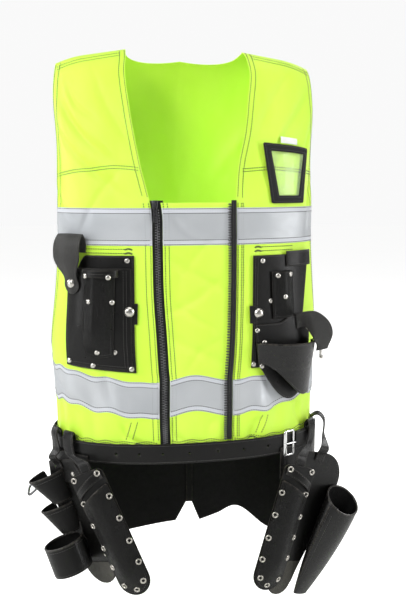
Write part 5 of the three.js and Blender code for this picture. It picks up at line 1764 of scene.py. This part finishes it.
def make_ring(place, out):
    x0, half, deep, top, height, taper, nose, lean, dip = UPPER_POUCH
    angle = math.pi * 0.12
    down = 11 / height
    size = mix(1, taper, down)
    x = x0 + lean * down + nose * math.sin(angle) * (1 - down) - (half * size + LEATHER) * math.cos(angle)
    far = out + (deep * size + LEATHER) * math.sin(angle)
    z = top - 11 - dip * math.sin(angle) * (1 - down)
    droop = Matrix.Rotation(0.4, 4, "Y") @ Matrix.Rotation(1.05, 4, "X")
    seat = place @ Matrix.Translation((x, -far, z)) @ Matrix.Rotation(math.pi + angle, 4, "Z") @ droop
    bar = 3.6 + 1.8

    def path(t):
        turn_by = 2 * math.pi * t
        c, s = math.cos(turn_by), math.sin(turn_by)
        return Vector((
            bar + 15 * (1 + math.copysign(abs(c) ** 0.7, c)), 0, 15 * math.copysign(abs(s) ** 0.7, s),
        ))

    points = [seat @ path(k / 64) for k in range(64)]
    upward = (seat @ Vector((0, 1, 0))) - (seat @ Vector((0, 0, 0)))
    bm = tube_mesh(points, 2.3, 12, True, 1.0, lambda k: upward)
    settle("hammer_ring_metal", bm, STEEL, "hammer_ring")
    over, low = bar + 1.8 + 2 * SEAT + LEATHER / 2, 3.6 + LEATHER / 2
    stops = [(-10, low), (-6, low), (0, over), (6, low), (10, low)]

    def stop(y, reach):
        return lambda aside: seat @ Vector((reach, y, aside))

    at = strap_at([stop(*row) for row in stops], 14, LEATHER)
    leather("ring_tab_leather", at, 8, 40, "ring_tab", bevel=0.6)


def make_left_hip():
    place = LEFT_HIP

    def outline(v):
        """Left and right edges of the plate at a share of its length."""
        distance = 290 * v
        if distance < 52:
            right = 60 - 52 + math.sqrt(max(52**2 - (52 - distance) ** 2, 0))
        else:
            right = mix(60, 12, ease(60, 290, distance) * 0.9 + 0.1 * (distance - 52) / 238)
        left = mix(-40, -50, distance / 40) if distance < 40 else mix(-50, -40, (distance - 40) / 224)
        if distance > 264:
            half = math.sqrt(max(26**2 - (distance - 264) ** 2, 0))
            left, right = -14 - half, min(right, -14 + half)
        return left, max(right, left + 0.8)

    def plate_at(u, v, w):
        v = 1 - (1 - v) ** 1.2
        left, right = outline(v)
        return within(place, mix(left, right, u), w * LEATHER, -290 * v)

    rows = [0, 0.004, 0.01, 0.018, 0.03, 0.045] + spaced(0.06, 0.96, 44) + [0.975, 0.988, 1]
    leather("left_hip_plate_leather", plate_at, 30, rows, "left_hip_plate")
    sheet_seam("hip_stitching", plate_at, polyline([(0.95, 0.05), (0.95, 0.5)]))

    # A pale sheet over the plate's foot, painting the sheen of light there
    def foot_at(u, v, w):
        share = mix(0.76, 0.995, v)
        left, right = outline(share)
        x = mix(left + 1.2, max(right - 1.2, left + 2), u)
        return within(place, x, LEATHER + 0.1 + w * 0.8, -290 * share)

    leather("left_hip_painted_sheen", foot_at, 20, 26, (), PALE_SHEEN, 0.8, None, 0.2)
    out = LEATHER + SEAT

    def pouch_at(u, v, w):
        angle = 2 * math.pi * u
        wide = mix(34, 13, v**2.6) + w * LEATHER
        thin = mix(25, 3.4 - LEATHER, v**1.3)
        deep = thin + w * LEATHER
        x = 58 - 16 * v + wide * math.cos(angle)
        dip = 38 * (0.5 + 0.5 * math.sin(angle)) * (1 - v)
        return within(place, x, out + LEATHER + thin + deep * math.sin(angle), -62 - dip - v * 222)

    leather("left_long_pouch_leather", pouch_at, 64, 60, "left_long_pouch", POLISHED, inner=INSIDE, bevel=0.9)
    lip = [pouch_at(u, 0, 0.5) for u in shares(64)[:-1]]
    settle("left_long_pouch_lip", tube_mesh(lip, 2.0, 8, True), POLISHED)
    for u in (0.44, 0.4):
        sheet_seam("hip_stitching", pouch_at, polyline([(u, 0.08), (u, 0.97)]))
    welt = [pouch_at(0.46, v, 1) for v in spaced(0.04, 0.97, 50)]
    settle("left_long_pouch_piping", tube_mesh(welt, 1.6, 8), SMOOTH)
    foot = [pouch_at(u, 1, 0.5) for u in shares(24)[:-1]]
    centre = sum(foot, Vector()) / len(foot)

    def toe_at(u, v, w):
        edge = catmull(foot + [foot[0]], u)
        downwards = within(place, 0, 0, -1) - within(place, 0, 0, 0)
        return edge.lerp(centre, v) + downwards * (w * 1.4 + 1.4 * v * (2 - v))

    bm = sheet_mesh(shares(24), shares(4), toe_at)
    settle("left_long_pouch_toe", bm, POLISHED, (), 1.6, 0.3)
    upper = [(-27, 7), (25, 7), (-28, 50), (27, 53), (-27.5, 92), (27, 96)]
    rivets = upper + [(-27, 132), (26.5, 140), (-26, 172), *HOLSTER_FOOT_RIVETS]
    make_holster("left", LEFT_HOLSTER, -1, rivets)
    hip_loop("left_loop_outer", 74, BELT_OUT + 20, -3, seated_on(place, -6))
    hip_loop("left_loop_inner", 60, BELT_OUT + 9, -4, seated_behind(LEFT_HOLSTER, 0))


# Rear panels

RIGHT_FOOT = [(-58, 1), (-40, 0.985), (-24, 0.965), (-10, 0.94), (-1, 0.925)]
LEFT_FOOT = [(11, 0.93), (20, 0.885), (30, 0.84), (44, 0.97), (58, 1)]


def make_rear_panel(name, table, side):
    angles, feet = [row[0] for row in table], [row[1] for row in table]

    def at(u, v, w):
        level = u * (len(table) - 1)
        inner = u if side < 0 else 1 - u
        straight = mix(side * 58, 6 + side * 0.06, inner)
        degrees = mix(straight, smooth_value(angles, level), max(v - 0.79, 0) / 0.21)
        down = 704 + 280 * smooth_value(feet, level) * v
        curl = 2 * v * arch(u) if side < 0 else 12 * v**2 * math.exp(-(((u - 0.5) / 0.22) ** 2))
        return hoop(180 - degrees, down, BELT_OUT + 1.2 + curl + w * LEATHER)

    made = leather(name + "_leather", at, 60, 46, name, SMOOTH, inner=INSIDE, bevel=0.8)
    sheet_seam("rear_stitching", at, polyline([(0.02, 0.04), (0.02, 0.97), (0.98, 0.97), (0.98, 0.04)]))
    sheet_seam("rear_stitching", at, polyline([(0.02, 0.035), (0.98, 0.035)]))
    spots = []
    for u in (0.08, 0.5, 0.92):
        point = at(u, 0.06, 1)
        spots.append((point, point - at(u, 0.06, 0)))
    set_rivets(name + "_rivets", surface_of(made), spots, rivet_shape(), NICKEL)


def make_hangers():
    """The upper ends of the hip groups, folded up behind their loops to the belt."""
    for name, start, end, low in (("right_hip_hanger", -86, -46, 782), ("left_hip_hanger", 37, 84, 800)):

        def at(u, v, w):
            side = abs(2 * u - 1)
            down = mix(BELT_BOTTOM - 12, low - 16 * side**3, v)
            return hoop(mix(start, end, u), down, BELT_OUT + 0.9 + w * LEATHER)

        leather(name, at, 30, 16, bevel=0.8)
        sheet_seam("hip_stitching", at, polyline([(0.05, 0.3), (0.05, 0.96)]))

    def strip_at(u, v, w):
        return hoop(180 - mix(4.4, 7.6, u), mix(BELT_BOTTOM + 1, 921, v), BELT_OUT - 0.2 + w * 1.2)

    leather("rear_seam_strip", strip_at, 3, 24, (), INSIDE, 1.2, None, 0.3)


make_cloth()
make_cloth_seams()
make_zips()
make_card_pocket()
make_right_chest()
make_left_chest()
make_belt()
make_right_hip()
make_left_hip()
make_rear_panel("right_rear_panel", RIGHT_FOOT, -1)
make_rear_panel("left_rear_panel", LEFT_FOOT, 1)
make_hangers()

for group, marks in SEAMS.items():
    on_cloth = group in ("vest_stitching", "band_stitching")
    shape = stitch_shape() if on_cloth else stitch_shape(3.4, 1.1, 0.7)
    repeated(group, shape, marks, THREAD if on_cloth else PALE_THREAD)


# Stage, light and camera

# The camera's place in metres, and the degrees that it looks down and to the right
CAMERA_PLACE = (-0.2131, -1.4852, -0.233)
CAMERA_DOWN = 9.03
CAMERA_RIGHT = 9.5
LENS = 46.52

# Name, place, aimed at, size in metres and watts
LIGHTS = [
    ("key", (-1.9, -2.0, 1.2), (0, 0, -0.4), (1.0, 1.0), 57),
    ("fill", (2.4, -1.2, 0.1), (0, 0, -0.5), (0.8, 2.0), 40),
    ("side", (-2.4, -0.8, 0.1), (0, 0, -0.5), (0.6, 2.0), 22),
    ("top", (0.1, -0.3, 1.9), (0, 0, -0.4), (2.0, 1.6), 20),
    ("rear_left", (-2.2, 1.6, 0.6), (0, 0, -0.6), (1.0, 1.8), 30),
    ("rear_right", (2.2, 1.7, 0.6), (0, 0, -0.6), (1.0, 1.8), 30),
]


def make_stage():
    bm = bmesh.new()
    bmesh.ops.create_circle(bm, cap_ends=True, segments=64, radius=14)
    bmesh.ops.translate(bm, vec=(0, 0, cad_box[0][2] - 0.05), verts=bm.verts[:])
    mesh = bpy.data.meshes.new("pale_floor")
    bm.to_mesh(mesh)
    bm.free()
    floor = bpy.data.objects.new("pale_floor", mesh)
    bpy.context.scene.collection.objects.link(floor)
    material, tree, shader = new_material("pale_floor")
    mottle = group_node(tree, MOTTLE, {"Place": place_of(tree), "Size": 1.5})
    colour = blend_colours(tree, mottle.outputs["Slow"], (0.86, 0.86, 0.85), (0.88, 0.88, 0.87))
    tree.links.new(colour, shader.inputs["Base Color"])
    shader.inputs["Roughness"].default_value = 0.9
    # The floor glows to the camera alone, so that it meets the pale background without a line
    seen = node(tree, "ShaderNodeLightPath").outputs["Is Camera Ray"]
    glow = blend_colours(tree, seen, (0.0, 0.0, 0.0), (0.74, 0.74, 0.74))
    tree.links.new(glow, shader.inputs["Emission Color"])
    shader.inputs["Emission Strength"].default_value = 1.0
    mesh.materials.append(material)


def make_light(name, spot, target, size, power):
    data = bpy.data.lights.new(name, "AREA")
    data.shape = "RECTANGLE"
    data.size, data.size_y = size
    data.energy = power
    light = bpy.data.objects.new(name, data)
    light.location = spot
    light.rotation_euler = (Vector(target) - Vector(spot)).to_track_quat("-Z", "Y").to_euler()
    bpy.context.scene.collection.objects.link(light)


def make_world():
    world = bpy.data.worlds.new("studio")
    world.use_nodes = True
    bpy.context.scene.world = world
    background = world.node_tree.nodes["Background"]
    background.inputs["Color"].default_value = (1.0, 1.0, 1.0, 1)
    seen = node(world.node_tree, "ShaderNodeLightPath").outputs["Is Camera Ray"]
    strength = ranged(world.node_tree, seen, 0.24, 0.95)
    world.node_tree.links.new(strength, background.inputs["Strength"])


def make_camera():
    data = bpy.data.cameras.new("view")
    data.lens = LENS
    data.sensor_width = 36
    data.clip_end = 60
    camera = bpy.data.objects.new("view", data)
    camera.location = CAMERA_PLACE
    camera.rotation_euler = (math.radians(90 - CAMERA_DOWN), 0, math.radians(-CAMERA_RIGHT))
    bpy.context.scene.collection.objects.link(camera)
    bpy.context.scene.camera = camera


bpy.context.scene.view_settings.view_transform = "Standard"
make_stage()
make_world()
for light in LIGHTS:
    make_light(*light)
make_camera()
